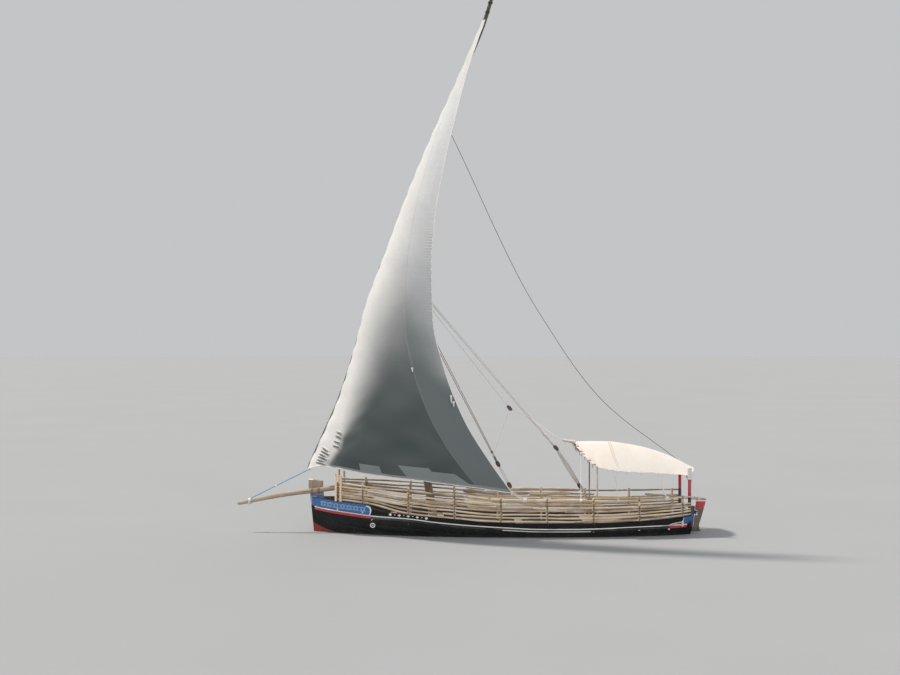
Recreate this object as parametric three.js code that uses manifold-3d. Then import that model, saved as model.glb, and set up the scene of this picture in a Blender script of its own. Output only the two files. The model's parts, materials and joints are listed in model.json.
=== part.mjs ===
// Wooden dhow with one lateen sail, afloat.
// Millimetres. The bow points along -X, port is -Y, +Z is up, and the origin is on the waterline amidships.
import * as THREE from "three";
import { mergeVertices } from "three/addons/utils/BufferGeometryUtils.js";
import Module from "manifold-3d";

const wasm = await Module();
wasm.setup();

// Driving dimensions
const KEEL_BOTTOM = -1100;
const KEEL_HEIGHT = 160;
const KEEL_WIDTH = 150;
const PLANK_THICKNESS = 45;
const WALE_HEIGHT = 100;
const WALE_DEPTH = 32;
const FRAME_DEPTH = 80;
const FRAME_WIDTH = 90;
const SHELF_DROP = 300;
const SHELF_HEIGHT = 120;
const STERN_RAKE = 0.1;
const TRANSOM_X = 5700;
const TRANSOM_THICKNESS = 50;
const MAST_FOOT_X = -2230;
const MAST_FOOT_Z = 900;
const MAST_LEAN = -0.1689;
const MAST_TOP_Z = 8720;
const MAST_RADIUS = 125;
const MAST_SIDES = 16;
const MAST_HEAD_RADIUS = 92;
const MAST_MIDDLE = { z: 4500, radius: 112 };
const MAST_WEDGE = 8;
const COLLAR_Z = 8130;
const COLLAR_HEIGHT = 120;
const COLLAR_DEPTH = 42;
const COLLAR_LUG = { forward: 180, back: 10, near: -190, far: -50, half: 45 };
const MAST_STEP_TOP = -760;
const MAST_STEP_LENGTH = 520;
const MAST_STRAIGHT_Z = COLLAR_Z - 160;
const STERN_POST_X = TRANSOM_X + 220;
const RUDDER_AXIS_X = STERN_POST_X + 45;
const RUDDER_THICKNESS = 60;
const POLE_RADIUS = 31;
const LOG_RADIUS = 58;
const POLE_INSET = 30;
const POST_SIZE = 70;
const POST_RISE = 60;
const BOW_RAIL_RADIUS = 38;
const BOW_RAIL_GAP = 3.3;
const HOOP_RADIUS = 25;
const RIDGE_RADIUS = 38;
const RIDGE_SINK = 2.6;
const RIDGE_SHORT = 20;
const IRON_HEIGHT = 50;
const EYE_RADIUS = 38;
const PIN_RADIUS = 16;

// Gaps between pieces that touch, at a seat cut by its neighbour, and round a pin that turns
const GAP = 0.5;
const SEAT_GAP = 0.3;
const PIN_GAP = 0.4;

// Reach of the plain blocks that cut hull pieces to length, past the hull on every side
const PAST = { bow: -6500, stern: 6500, side: 2500, below: -1200, above: 1500, top: 2500 };

// Hull stations from bow to stern: the rabbet point on the keel line and the sheer point above it
// [rabbet x, rabbet z, sheer x, sheer z, half breadth at sheer, fullness, wale z, rabbet flare]
const STEM_FLARE = 45;
const STATIONS = [
  [-5800, -100, -5930, 1060, 120, 0.0, 750, STEM_FLARE],
  [-5620, -480, -5620, 1040, 350, 0.1, 710, 30],
  [-5250, -760, -5130, 1000, 690, 0.3, 660, 12],
  [-4650, -920, -4550, 960, 960, 0.5, 605, 3],
  [-4200, -960, -4150, 930, 1100, 0.62, 565, 0],
  [-3980, -970, -3950, 800, 1155, 0.68, 552, 0],
  [-3000, -980, -3000, 660, 1410, 0.85, 515, 0],
  [-2000, -980, -2000, 590, 1575, 0.92, 410, 0],
  [-1000, -980, -1000, 510, 1665, 0.95, 330, 0],
  [0, -980, 0, 450, 1700, 0.95, 272, 0],
  [1000, -980, 1000, 430, 1700, 0.95, 225, 0],
  [2000, -980, 2000, 430, 1680, 0.93, 218, 0],
  [3000, -970, 3000, 440, 1620, 0.88, 235, 0],
  [4000, -920, 4000, 465, 1510, 0.8, 268, 0],
  [5000, -750, 5000, 520, 1330, 0.7, 290, 0],
  [TRANSOM_X - 45, -450, TRANSOM_X + 60, 600, 1130, 0.6, 305, 0],
];
const BOTTOM_STEPS = [0, 0.12, 0.3, 0.52, 0.76, 1];
const WALE_FOOT = BOTTOM_STEPS.length - 1;

// Outlines of the end posts in the plane of the keel: [x, z]
const KEEL_ENDS = [-4750, TRANSOM_X + 115, TRANSOM_X + 131];
const STEM_OUTLINE = [
  [KEEL_ENDS[0] - SEAT_GAP, KEEL_BOTTOM],
  [-5100, -1065],
  [-5400, -950],
  [-5640, -740],
  [-5800, -430],
  [-5870, -50],
  [-5985, 1120],
  [-6000, 1310],
  [-6040, 1340],
  [-6040, 1620],
  [-5590, 1560],
  [-5590, 1310],
  [-5560, 1000],
  [-5480, 0],
  [-5380, -350],
  [-5150, -640],
  [KEEL_ENDS[0] - SEAT_GAP, -800],
];
const KEEL_TOP = KEEL_BOTTOM + KEEL_HEIGHT;
const TRANSOM_BACK = TRANSOM_X + TRANSOM_THICKNESS + 1;
const STERN_POST_TOP = 780;
const TRANSOM_FOOT = -456;
const STERN_POST_OUTLINE = [
  [STERN_POST_X - 93, KEEL_TOP + SEAT_GAP],
  [STERN_POST_X + STERN_RAKE * STERN_POST_TOP, STERN_POST_TOP],
  [TRANSOM_BACK + STERN_RAKE * STERN_POST_TOP, STERN_POST_TOP],
  [TRANSOM_BACK - 45, TRANSOM_FOOT],
  [TRANSOM_X - 60, TRANSOM_FOOT],
  [5000, -680],
  [4200, -860],
  [3500, KEEL_TOP + SEAT_GAP],
];

// Frames: ribs at even steps, joined along each side by the shelf
const RIBS = { first: -4700, last: 5150, count: 10 };
const SHELF_ENDS = [-5250, 5600];

// Decks and thwarts, which lie on the shelf: [name, from x, to x, thickness]
const FLATS = [
  ["foredeck", -5450, -4230, 40],
  ["thwart_fore", -3520, -3300, 60],
  ["mast_thwart", -2330, -1830, 90],
  ["thwart_mid", 420, 660, 60],
  ["aft_deck", 2480, 5800, 40],
];
const FLOOR = { from: -3900, to: 2900, z: -560, thickness: 35 };

// Pole screens: [x, lowest pole z, highest pole z]
const SCREEN = [
  [-5150, 1060, 1560],
  [-4150, 985, 1470],
  [-3000, 725, 1400],
  [-1600, 600, 1270],
  [0, 500, 1130],
  [2000, 480, 1120],
  [3000, 490, 1100],
  [4200, 530, 1130],
  [5700, 670, 1175],
];
const SCREEN_POSTS = [-5080, -4300, -2900, -1500, -100, 1300, 2700, 4100, 5450];
// The screen's poles from the lowest up: [share of its height, last x, whether it is a heavy log amidships]
const POLES = [
  [0, 5700, false],
  [0.16, 5700, false],
  [0.32, 5700, false],
  [0.48, 5700, false],
  [0.64, 5700, false],
  [0.8, 3000, true],
  [1, 5700, true],
];
const LOG_SPAN = [-1700, 2500];

// Lateen yard from heel to peak: [z, x, y, radius]
const YARD = [
  [1900, -6095, 450, 55],
  [2810, -5650, 359, 78],
  [4070, -5070, 227, 95],
  [5640, -4530, 64, 108],
  [7190, -4075, -98, 115],
  [8740, -3470, -263, 115],
  [10280, -2900, -474, 108],
  [11800, -2270, -683, 98],
  [13300, -1600, -890, 84],
  [14500, -1060, -1055, 72],
  [15600, -600, -1206, 60],
  [16720, -250, -1340, 42],
];

// Sail rows from foot to head: [luff row in YARD, leech x, leech y, leech z, belly, cover]
// Cover says how far the luff reaches forward over the yard, as a share of the yard's radius
const SAIL_ROWS = [
  [0, 230, -1720, 1360, 760, 0],
  [1, -480, -1870, 2370, 860, 0],
  [2, -1210, -2060, 3580, 880, 0.35],
  [3, -1800, -2190, 5080, 800, 0.7],
  [4, -2145, -2250, 6570, 620, 1],
  [5, -2190, -2270, 8120, 450, 1],
  [6, -2065, -2170, 9700, 290, 1],
  [7, -1790, -2070, 11260, 170, 1],
  [8, -1415, -1970, 12850, 90, 1],
  [9, -1047, -1737, 14240, 45, 1],
  [10, -579, -1462, 15640, 15, 1],
];
const SAIL_COLUMNS = 10;
const SAIL_THICKNESS = 14;
// Rise of the foot's curve above its chord, from tack to clew
const FOOT_RISE = [0, 190, 200, 175, 160, 150, 145, 120, 90, 50, 0];

// Standing ropes from the masthead to the starboard rail: [name, masthead z, block's x, y, z, rail x, radius]
const STAYS = [
  ["backstay", 8640, [1750, 1270, 2490], 2620, 17],
  ["shroud", 8680, [-98, 1470, 1960], 350, 13],
];
const STAY_BLOCK = { length: 200, radius: 60 };
const TACKLE_SPREAD = 8;

// Spar over the bow, lashed to two cross rails at the first two posts: [x, z, radius]
const BOWSPRIT = [
  [-8240, 870, 60],
  [-6780, 1150, 72],
  [-5800, 1282, 78],
  [-5000, 1385, 82],
  [-4050, 1480, 82],
];
const BOWSPRIT_Y = -(KEEL_WIDTH / 2 + 75.7);
const BOW_RAILS = [
  ["bow_rail_fore", 0],
  ["bow_rail_aft", 1],
];

// Painted discs on the bow
const OCULUS = { x: -3990, z: 300, radius: 80, depth: 22 };

// Stern: corner posts, cross rail, and the two hoops that carry the awning
const CORNER_POST = { x: 5680, radius: 50, top: 2060 };
const STERN_RAIL = { z: 700, radius: 36 };
// How far each hoop's middle lies below the awning's top, with the ridge pole between them
const HOOP_RISE = 60;
const HOOP_DROP = { fore: 106.5, aft: 121.2 };
const HOOP_FORE = { x: 2830, y: 1400 };
const HOOP_AFT_REACH = 1025;

// Awning: [ridge x, ridge z, eave x, eave z, half width]
const AWNING = [
  [2240, 2778, 2850, 2090, 1500],
  [2780, 2803, 3180, 2030, 1470],
  [3315, 2787, 3520, 1980, 1420],
  [3745, 2741, 3900, 1945, 1360],
  [4387, 2620, 4560, 1910, 1240],
  [5100, 2395, 5080, 1865, 1140],
  [5925, 1990, 5600, 1825, 1040],
];
const AWNING_THICKNESS = 12;
const AWNING_ACROSS = 10;
// Powers of the share across the awning: how late its rows turn aft, and how late it drops
const AWNING_TURN = 3;
const AWNING_ARCH = 1.8;

// Rudder blade, as seen from the side: [x aft of the axis at the waterline, z]
const RUDDER_TOP = 1040;
const RUDDER_FOOT = -1000;
const RUDDER_OUTLINE = [
  [395, 1000],
  [355, 860],
  [225, 400],
  [155, 180],
  [175, 60],
  [285, -120],
  [515, -420],
  [655, -800],
  [635, RUDDER_FOOT],
];
// Heights of the two hinges on the stern post: [name, z]
const IRONS = [
  ["lower", -720],
  ["upper", 560],
];
// Cut in the blade round each hinge, aft of the axis and below and above the hinge
const NOTCH = { depth: 61.5, below: 75, above: 90 };
// Tiller from its fork round the rudder head to the hand: [x, z, radius]
const TILLER = [
  [6220, 1004, 46],
  [5980, 1024, 44],
  [4450, 1146, 30],
];

// Colours: [colour, roughness]
const FINISH = {
  tarred: [0x1d1b1a, 0.75],
  weathered: [0x8d7c68, 0.85],
  pole: [0xb39b78, 0.8],
  paint: [0xd8d4c8, 0.6],
  canvas: [0xcfc9b8, 0.95],
  awning: [0xf0e6d6, 0.95],
  rope: [0xc7bfae, 0.9],
  iron: [0x4a4440, 0.7],
};

const root = new THREE.Group();
const halfKeel = KEEL_WIDTH / 2;

// Closed solids and booleans
function solidOf(geometry) {
  const plain = geometry.clone();
  plain.deleteAttribute("normal");
  plain.deleteAttribute("uv");
  const merged = mergeVertices(plain, 1e-3);
  const made = new wasm.Manifold(
    new wasm.Mesh({
      numProp: 3,
      vertProperties: new Float32Array(merged.attributes.position.array),
      triVerts: new Uint32Array(merged.index.array),
    }),
  );
  return made;
}

function geometryOf(solid) {
  const mesh = solid.getMesh();
  const places = new Float32Array(mesh.numVert * 3);
  for (let i = 0; i < mesh.numVert; i++) {
    const from = i * mesh.numProp;
    places.set(mesh.vertProperties.subarray(from, from + 3), i * 3);
  }
  const geometry = new THREE.BufferGeometry();
  geometry.setAttribute("position", new THREE.BufferAttribute(places, 3));
  geometry.setIndex(new THREE.BufferAttribute(mesh.triVerts, 1));
  geometry.computeVertexNormals();
  return geometry;
}

function addNode(name, shape, finish) {
  const geometry = shape.isBufferGeometry ? shape : geometryOf(shape);
  const [color, roughness] = FINISH[finish];
  const metalness = finish === "iron" ? 0.8 : 0;
  const material = new THREE.MeshStandardMaterial({ color, roughness, metalness });
  const mesh = new THREE.Mesh(geometry, material);
  mesh.name = name;
  root.add(mesh);
  return mesh;
}

// Triangles with their winding turned round where the volume is negative
function closedGeometry(points, triangles) {
  let volume = 0;
  for (const [a, b, c] of triangles) {
    volume += points[a].dot(new THREE.Vector3().crossVectors(points[b], points[c]));
  }
  const index = [];
  for (const [a, b, c] of triangles) {
    index.push(a, ...(volume < 0 ? [c, b] : [b, c]));
  }
  const geometry = new THREE.BufferGeometry().setFromPoints(points);
  geometry.setIndex(index);
  geometry.computeVertexNormals();
  return geometry;
}

// A wall between two grids of points with the same rows and columns
function wall(front, back) {
  const rows = front.length;
  const columns = front[0].length;
  const points = [...front.flat(), ...back.flat()];
  const at = (side, i, j) => side * rows * columns + i * columns + j;
  const triangles = [];
  const quad = (a, b, c, d) => triangles.push([a, b, c], [a, c, d]);
  for (let i = 0; i + 1 < rows; i++) {
    for (let j = 0; j + 1 < columns; j++) {
      quad(at(0, i, j), at(0, i + 1, j), at(0, i + 1, j + 1), at(0, i, j + 1));
      triangles.push([at(1, i, j), at(1, i + 1, j + 1), at(1, i + 1, j)]);
      triangles.push([at(1, i, j), at(1, i, j + 1), at(1, i + 1, j + 1)]);
    }
    quad(at(0, i, 0), at(1, i, 0), at(1, i + 1, 0), at(0, i + 1, 0));
    const last = columns - 1;
    quad(at(0, i, last), at(0, i + 1, last), at(1, i + 1, last), at(1, i, last));
  }
  for (let j = 0; j + 1 < columns; j++) {
    quad(at(0, 0, j), at(0, 0, j + 1), at(1, 0, j + 1), at(1, 0, j));
    const last = rows - 1;
    quad(at(0, last, j), at(1, last, j), at(1, last, j + 1), at(0, last, j + 1));
  }
  return closedGeometry(points, triangles);
}

const ALONG_X = new THREE.Vector3(1, 0, 0);
const ALONG_Z = new THREE.Vector3(0, 0, 1);
// Distance of a flat from the middle of a spar with 8 or 10 sides, as a share of its radius
const FLAT_OF_8 = Math.cos(Math.PI / 8);
const FLAT_OF_10 = Math.cos(Math.PI / 10);

// A round spar or rope through points, with one radius for each point
function spar(points, radii, sides, sideways) {
  const places = [];
  const triangles = [];
  const run = points[points.length - 1].clone().sub(points[0]).normalize();
  const guide = sideways ?? (Math.abs(run.z) > 0.9 ? ALONG_X : ALONG_Z);
  points.forEach((point, i) => {
    const before = points[Math.max(i - 1, 0)];
    const after = points[Math.min(i + 1, points.length - 1)];
    const way = after.clone().sub(before).normalize();
    const side = new THREE.Vector3().crossVectors(way, guide).normalize();
    const up = new THREE.Vector3().crossVectors(side, way);
    for (let k = 0; k < sides; k++) {
      const angle = (2 * Math.PI * (k + 0.5)) / sides;
      const place = point.clone();
      place.addScaledVector(side, radii[i] * Math.cos(angle));
      place.addScaledVector(up, radii[i] * Math.sin(angle));
      places.push(place);
    }
  });
  const last = (points.length - 1) * sides;
  for (let i = 0; i + 1 < points.length; i++) {
    for (let k = 0; k < sides; k++) {
      const a = i * sides + k;
      const b = i * sides + ((k + 1) % sides);
      triangles.push([a, b, b + sides], [a, b + sides, a + sides]);
    }
  }
  for (let k = 1; k + 1 < sides; k++) {
    triangles.push([0, k + 1, k], [last, last + k, last + k + 1]);
  }
  return closedGeometry(places, triangles);
}

function evenSpar(points, radius, sides) {
  return spar(points, points.map(() => radius), sides);
}

// A plate cut from an outline in the XZ plane, centred on y = 0
function plate(outline, thickness) {
  const shape = new THREE.Shape(outline.map(([x, z]) => new THREE.Vector2(x, z)));
  const geometry = new THREE.ExtrudeGeometry(shape, {
    depth: thickness,
    bevelEnabled: false,
    curveSegments: 6,
  });
  geometry.rotateX(Math.PI / 2);
  geometry.translate(0, thickness / 2, 0);
  return geometry;
}

function block(x0, x1, y0, y1, z0, z1) {
  const geometry = new THREE.BoxGeometry(x1 - x0, y1 - y0, z1 - z0);
  geometry.translate((x0 + x1) / 2, (y0 + y1) / 2, (z0 + z1) / 2);
  return solidOf(geometry);
}

// A slice of the hull's room between two places along it and two across it
function slice(x0, x1, y0, y1) {
  return block(x0, x1, y0, y1, PAST.below, PAST.above);
}

function join(solids) {
  return solids.reduce((whole, next) => whole.add(next));
}

// Value of column `to` at `at`, read along column `from` of a table
function along(table, from, to, at) {
  const first = table[0];
  const last = table[table.length - 1];
  if (at <= first[from]) return first[to];
  if (at >= last[from]) return last[to];
  const next = table.findIndex((row) => row[from] > at);
  const a = table[next - 1];
  const b = table[next];
  const share = (at - a[from]) / (b[from] - a[from]);
  return a[to] + (b[to] - a[to]) * share;
}

const sheerAt = (x) => along(STATIONS, 2, 3, x);
const breadthAt = (x) => along(STATIONS, 2, 4, x);
const shelfTopAt = (x) => sheerAt(x) - SHELF_DROP;
const flatUnderside = (x0, x1) => Math.max(shelfTopAt(x0), shelfTopAt(x1)) + GAP;

// Outer points of one hull section, from the rabbet up to the sheer
function section([rabbetX, rabbetZ, sheerX, sheerZ, breadth, fullness, waleZ, flare]) {
  const waleFoot = waleZ - WALE_HEIGHT / 2;
  const heights = BOTTOM_STEPS.map((step) => rabbetZ + (waleFoot - rabbetZ) * step);
  heights.push(waleFoot + WALE_HEIGHT, sheerZ);
  const inner = halfKeel + SEAT_GAP + flare;
  return heights.map((z) => {
    const t = (z - rabbetZ) / (sheerZ - rabbetZ);
    const round = Math.sqrt(1 - (1 - t) ** 2);
    const swell = fullness * round + (1 - fullness) * t;
    const y = inner + (breadth - inner) * swell;
    return new THREE.Vector3(rabbetX + (sheerX - rabbetX) * t, y, z);
  });
}

const OUTER = STATIONS.map(section);

// The hull surface moved inwards by a depth, never past the keel's side
function insetGrid(depth) {
  return OUTER.map((points, i) =>
    points.map((point, j) => {
      if (j === 0) {
        const lift = STATIONS[i][7] === STEM_FLARE ? 0 : depth;
        return new THREE.Vector3(point.x, halfKeel + SEAT_GAP, point.z + lift);
      }
      if (j === points.length - 1) {
        const y = Math.max(point.y - depth, halfKeel + SEAT_GAP);
        return new THREE.Vector3(point.x, y, point.z);
      }
      const rise = points[j + 1].clone().sub(points[j - 1]);
      const length = Math.hypot(rise.y, rise.z);
      const y = point.y - (depth * rise.z) / length;
      const z = point.z + (depth * rise.y) / length;
      return new THREE.Vector3(point.x, Math.max(y, halfKeel + SEAT_GAP), z);
    }),
  );
}

const mirrored = (grid) =>
  grid.map((row) => row.map((p) => new THREE.Vector3(p.x, -p.y, p.z)));

const shifted = (grid, x, y, z) =>
  grid.map((row) => row.map((p) => p.clone().add(new THREE.Vector3(x, y, z))));

// The room inside the planking, at a depth in from its outer face, open upwards
function roomInside(depth) {
  const grid = insetGrid(depth).map((row) => {
    const top = row[row.length - 1];
    return [...row, new THREE.Vector3(top.x, top.y, PAST.top)];
  });
  return solidOf(wall(grid, mirrored(grid)));
}

// A level band that follows the sheer: from drop to drop + height below it
function bandBelowSheer(drop, height) {
  const sides = [-PAST.side, PAST.side];
  const top = OUTER.map((row) => {
    const p = row[row.length - 1];
    return sides.map((y) => new THREE.Vector3(p.x, y, p.z - drop));
  });
  return solidOf(wall(top, shifted(top, 0, 0, -height)));
}

const SIDES = [
  ["port", -1],
  ["starboard", 1],
];

const planking = solidOf(wall(OUTER, insetGrid(PLANK_THICKNESS)));
const inner = insetGrid(PLANK_THICKNESS);
const room = roomInside(PLANK_THICKNESS + GAP);
const roomInsideFrames = roomInside(PLANK_THICKNESS + FRAME_DEPTH);
const frameSkin = room.subtract(roomInsideFrames);

function screenPosts(sign, spare) {
  return SCREEN_POSTS.map((x) => {
    const outside = sign * (breadthAt(x) - PLANK_THICKNESS + 20);
    const inside = sign * (breadthAt(x) - PLANK_THICKNESS - POST_SIZE - spare);
    const half = POST_SIZE / 2 + spare;
    const top = along(SCREEN, 0, 2, x) + POST_RISE;
    const foot = Math.max(shelfTopAt(x - half), shelfTopAt(x + half)) + GAP;
    const [y0, y1] = [Math.min(outside, inside), Math.max(outside, inside)];
    return block(x - half, x + half, y0, y1, foot - spare, top);
  });
}

function makeHull() {
  for (const [side, sign] of SIDES) {
    const outer = sign > 0 ? OUTER : mirrored(OUTER);
    const inside = sign > 0 ? inner : mirrored(inner);
    addNode("planking_" + side, wall(outer, inside), "tarred");
    const strip = outer.map((row) => row.slice(WALE_FOOT, WALE_FOOT + 2));
    const seat = shifted(strip, 0, sign * GAP, 0);
    addNode("wale_" + side, wall(seat, shifted(seat, 0, sign * WALE_DEPTH, 0)), "paint");
  }
  addNode(
    "keel",
    plate(
      [
        [KEEL_ENDS[0], KEEL_BOTTOM],
        [KEEL_ENDS[1], KEEL_BOTTOM],
        [KEEL_ENDS[2], KEEL_TOP],
        [KEEL_ENDS[0], KEEL_TOP],
      ],
      KEEL_WIDTH,
    ),
    "tarred",
  );
  addNode("stem_post", plate(STEM_OUTLINE, KEEL_WIDTH), "weathered");
  addNode("stern_post", plate(STERN_POST_OUTLINE, KEEL_WIDTH), "tarred");
  const edge = OUTER[OUTER.length - 1];
  const fore = shifted([edge, mirrored([edge])[0]], GAP, 0, 0);
  addNode("transom", wall(fore, shifted(fore, TRANSOM_THICKNESS, 0, 0)), "tarred");
}

function makeFrames() {
  const step = (RIBS.last - RIBS.first) / (RIBS.count - 1);
  const slabs = [];
  for (let i = 0; i < RIBS.count; i++) {
    const x = RIBS.first + step * i;
    slabs.push(slice(x - FRAME_WIDTH / 2, x + FRAME_WIDTH / 2, -PAST.side, PAST.side));
  }
  const ribs = frameSkin.intersect(join(slabs)).intersect(bandBelowSheer(SHELF_DROP, PAST.side));
  const shelf = frameSkin.intersect(bandBelowSheer(SHELF_DROP, SHELF_HEIGHT));
  const both = ribs.add(shelf.intersect(slice(...SHELF_ENDS, -PAST.side, PAST.side)));
  for (const [side, sign] of SIDES) {
    const limits = sign > 0 ? [halfKeel + 1, PAST.side] : [-PAST.side, -halfKeel - 1];
    addNode("frames_" + side, both.intersect(slice(PAST.bow, PAST.stern, ...limits)), "weathered");
  }
}

function deckTop(name) {
  const [, x0, x1, thickness] = FLATS.find((row) => row[0] === name);
  return flatUnderside(x0, x1) + thickness;
}

function makeDecks() {
  const posts = join([...screenPosts(1, 1), ...screenPosts(-1, 1)]);
  const through = [mastPoint(KEEL_BOTTOM), mastPoint(PAST.top)];
  const mastHole = solidOf(evenSpar(through, MAST_RADIUS + MAST_WEDGE, 20));
  for (const [name, x0, x1, thickness] of FLATS) {
    const z = flatUnderside(x0, x1);
    const slab = block(x0, x1, -PAST.side, PAST.side, z, z + thickness).intersect(room);
    addNode(name, slab.subtract(posts).subtract(mastHole), "weathered");
  }
  const { from, to, z, thickness } = FLOOR;
  const floor = block(from, to, -PAST.side, PAST.side, z, z + thickness);
  const inside = roomInside(PLANK_THICKNESS + FRAME_DEPTH + 1);
  addNode("floor_boards", floor.intersect(inside).subtract(mastHole), "weathered");
}

// Mast, collar and yard
function mastPoint(z) {
  return new THREE.Vector3(MAST_FOOT_X + MAST_LEAN * (z - MAST_FOOT_Z), 0, z);
}

function makeMast() {
  const heights = [KEEL_TOP, MAST_FOOT_Z, MAST_MIDDLE.z, MAST_STRAIGHT_Z, MAST_TOP_Z];
  const radii = [MAST_RADIUS, MAST_RADIUS, MAST_MIDDLE.radius, MAST_HEAD_RADIUS, MAST_HEAD_RADIUS];
  const pole = solidOf(spar(heights.map(mastPoint), radii, MAST_SIDES));
  const above = block(-6000, 0, -500, 500, MAST_STEP_TOP + GAP, 10000);
  addNode("mast", pole.intersect(above), "weathered");
  const foot = mastPoint(MAST_STEP_TOP);
  const half = MAST_STEP_LENGTH / 2;
  const low = KEEL_TOP + SEAT_GAP;
  const step = block(foot.x - half, foot.x + half, -halfKeel, halfKeel, low, MAST_STEP_TOP);
  addNode("mast_step", step, "weathered");
}

function makeYard() {
  const centre = YARD.map(([z, x, y]) => new THREE.Vector3(x, y, z));
  const radii = YARD.map((row) => row[3]);
  addNode("yard", spar(centre, radii, 10), "weathered");
  const seat = solidOf(spar(centre, radii.map((radius) => radius + GAP), 10));
  makeCollar(seat);
  const grid = sailGrid(centre, radii);
  addNode("sail", wall(grid.front, grid.back), "canvas");
}

// Rope collar round the masthead: a ring round the leaning mast, with a lug that reaches the yard
function makeCollar(yardSeat) {
  const sides = MAST_SIDES;
  const low = mastPoint(COLLAR_Z);
  const high = mastPoint(COLLAR_Z + COLLAR_HEIGHT);
  const inside = (MAST_HEAD_RADIUS + PIN_GAP) / Math.cos(Math.PI / sides);
  const bore = [mastPoint(COLLAR_Z - 100), mastPoint(COLLAR_Z + COLLAR_HEIGHT + 100)];
  const ring = solidOf(evenSpar([low, high], MAST_HEAD_RADIUS + COLLAR_DEPTH, sides));
  const middle = low.clone().lerp(high, 0.5);
  const { forward, back, near, far, half } = COLLAR_LUG;
  const ends = [middle.x - forward, middle.x + back];
  const reach = block(...ends, near, far, middle.z - half, middle.z + half);
  const hole = solidOf(turnedHalfStep(evenSpar(bore, inside, sides), low, MAST_LEAN, sides));
  addNode("yard_collar", ring.add(reach).subtract(yardSeat).subtract(hole), "rope");
}

// A bore turned half a step about a leaning axis, so that its corners face the middles of a pin's flats
function turnedHalfStep(geometry, point, lean, sides) {
  const axis = new THREE.Vector3(lean, 0, 1).normalize();
  const turn = new THREE.Quaternion().setFromAxisAngle(axis, Math.PI / sides);
  geometry.translate(-point.x, -point.y, -point.z);
  geometry.applyQuaternion(turn);
  geometry.translate(point.x, point.y, point.z);
  return geometry;
}

function sailGrid(centre, radii) {
  const front = [];
  const back = [];
  SAIL_ROWS.forEach(([luffRow, leechX, leechY, leechZ, belly, cover], row) => {
    const luff = centre[luffRow].clone();
    luff.x -= radii[luffRow] * cover;
    luff.y -= radii[luffRow] * FLAT_OF_10 + SAIL_THICKNESS / 2 + 2 * SEAT_GAP;
    const leech = new THREE.Vector3(leechX, leechY, leechZ);
    const chord = leech.clone().sub(luff);
    const outwards = new THREE.Vector3(chord.y, -chord.x, 0).normalize();
    const line = { front: [], back: [] };
    for (let k = 0; k <= SAIL_COLUMNS; k++) {
      const u = k / SAIL_COLUMNS;
      const point = luff.clone().addScaledVector(chord, u);
      point.addScaledVector(outwards, belly * bellyShape(u));
      if (row === 0) point.z += FOOT_RISE[k];
      const half = outwards.clone().multiplyScalar(SAIL_THICKNESS / 2);
      line.front.push(point.clone().add(half));
      line.back.push(point.clone().sub(half));
    }
    front.push(line.front);
    back.push(line.back);
  });
  return { front, back };
}

function bellyShape(u) {
  return Math.sin(Math.PI * u ** 0.85);
}

// One long pole of a screen, with its radius grown by a margin
function screenPole(sign, [share, lastX, heavy], margin) {
  const points = [];
  const radii = [];
  const stations = SCREEN.filter(([x]) => x <= lastX);
  for (const [x, low, high] of stations) {
    const y = sign * (breadthAt(x) - POLE_INSET);
    points.push(new THREE.Vector3(x, y, low + (high - low) * share));
    const log = heavy && x > LOG_SPAN[0] && x < LOG_SPAN[1];
    radii.push((log ? LOG_RADIUS : POLE_RADIUS) + margin);
  }
  return solidOf(spar(points, radii, 6));
}

function makeScreens() {
  for (const [side, sign] of SIDES) {
    const poles = POLES.map((pole) => screenPole(sign, pole, 0));
    const posts = screenPosts(sign, 0).map((post) => post.intersect(room));
    addNode("pole_screen_" + side, join([...poles, ...posts]), "pole");
  }
}

function makeStays() {
  const head = [mastPoint(COLLAR_Z), mastPoint(MAST_TOP_Z + COLLAR_HEIGHT)];
  const mastSeat = solidOf(evenSpar(head, MAST_HEAD_RADIUS + GAP, MAST_SIDES));
  const railSeat = screenPole(1, POLES[POLES.length - 1], GAP);
  for (const [name, mastZ, blockPlace, railX, radius] of STAYS) {
    const top = mastPoint(mastZ);
    const foot = new THREE.Vector3(railX, breadthAt(railX) - POLE_INSET, along(SCREEN, 0, 2, railX));
    const middle = new THREE.Vector3(...blockPlace);
    const way = middle.clone().sub(top).normalize();
    const reach = STAY_BLOCK.length / 2;
    const upper = middle.clone().addScaledVector(way, -reach);
    const lower = middle.clone().addScaledVector(way, reach);
    const shell = solidOf(evenSpar([upper, lower], STAY_BLOCK.radius, 8));
    addNode(name + "_block", shell, "weathered");
    upper.addScaledVector(way, -GAP);
    lower.addScaledVector(way, GAP);
    const blockSeat = solidOf(evenSpar([upper, lower], STAY_BLOCK.radius + GAP, 8));
    addNode(name, solidOf(evenSpar([top, upper], radius, 6)).subtract(mastSeat), "rope");
    const tackle = solidOf(evenSpar([middle, foot], radius + TACKLE_SPREAD, 6));
    addNode(name + "_tackle", tackle.subtract(blockSeat).subtract(railSeat), "rope");
  }
}

function makeOculi() {
  for (const [side, sign] of SIDES) {
    const outer = sign > 0 ? OUTER : mirrored(OUTER);
    const under = shifted(outer, 0, sign * GAP, 0);
    const skin = solidOf(wall(under, shifted(outer, 0, sign * OCULUS.depth, 0)));
    const ends = [900, 1500].map((y) => new THREE.Vector3(OCULUS.x, sign * y, OCULUS.z));
    addNode("oculus_" + side, skin.intersect(solidOf(evenSpar(ends, OCULUS.radius, 16))), "paint");
  }
}

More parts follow.
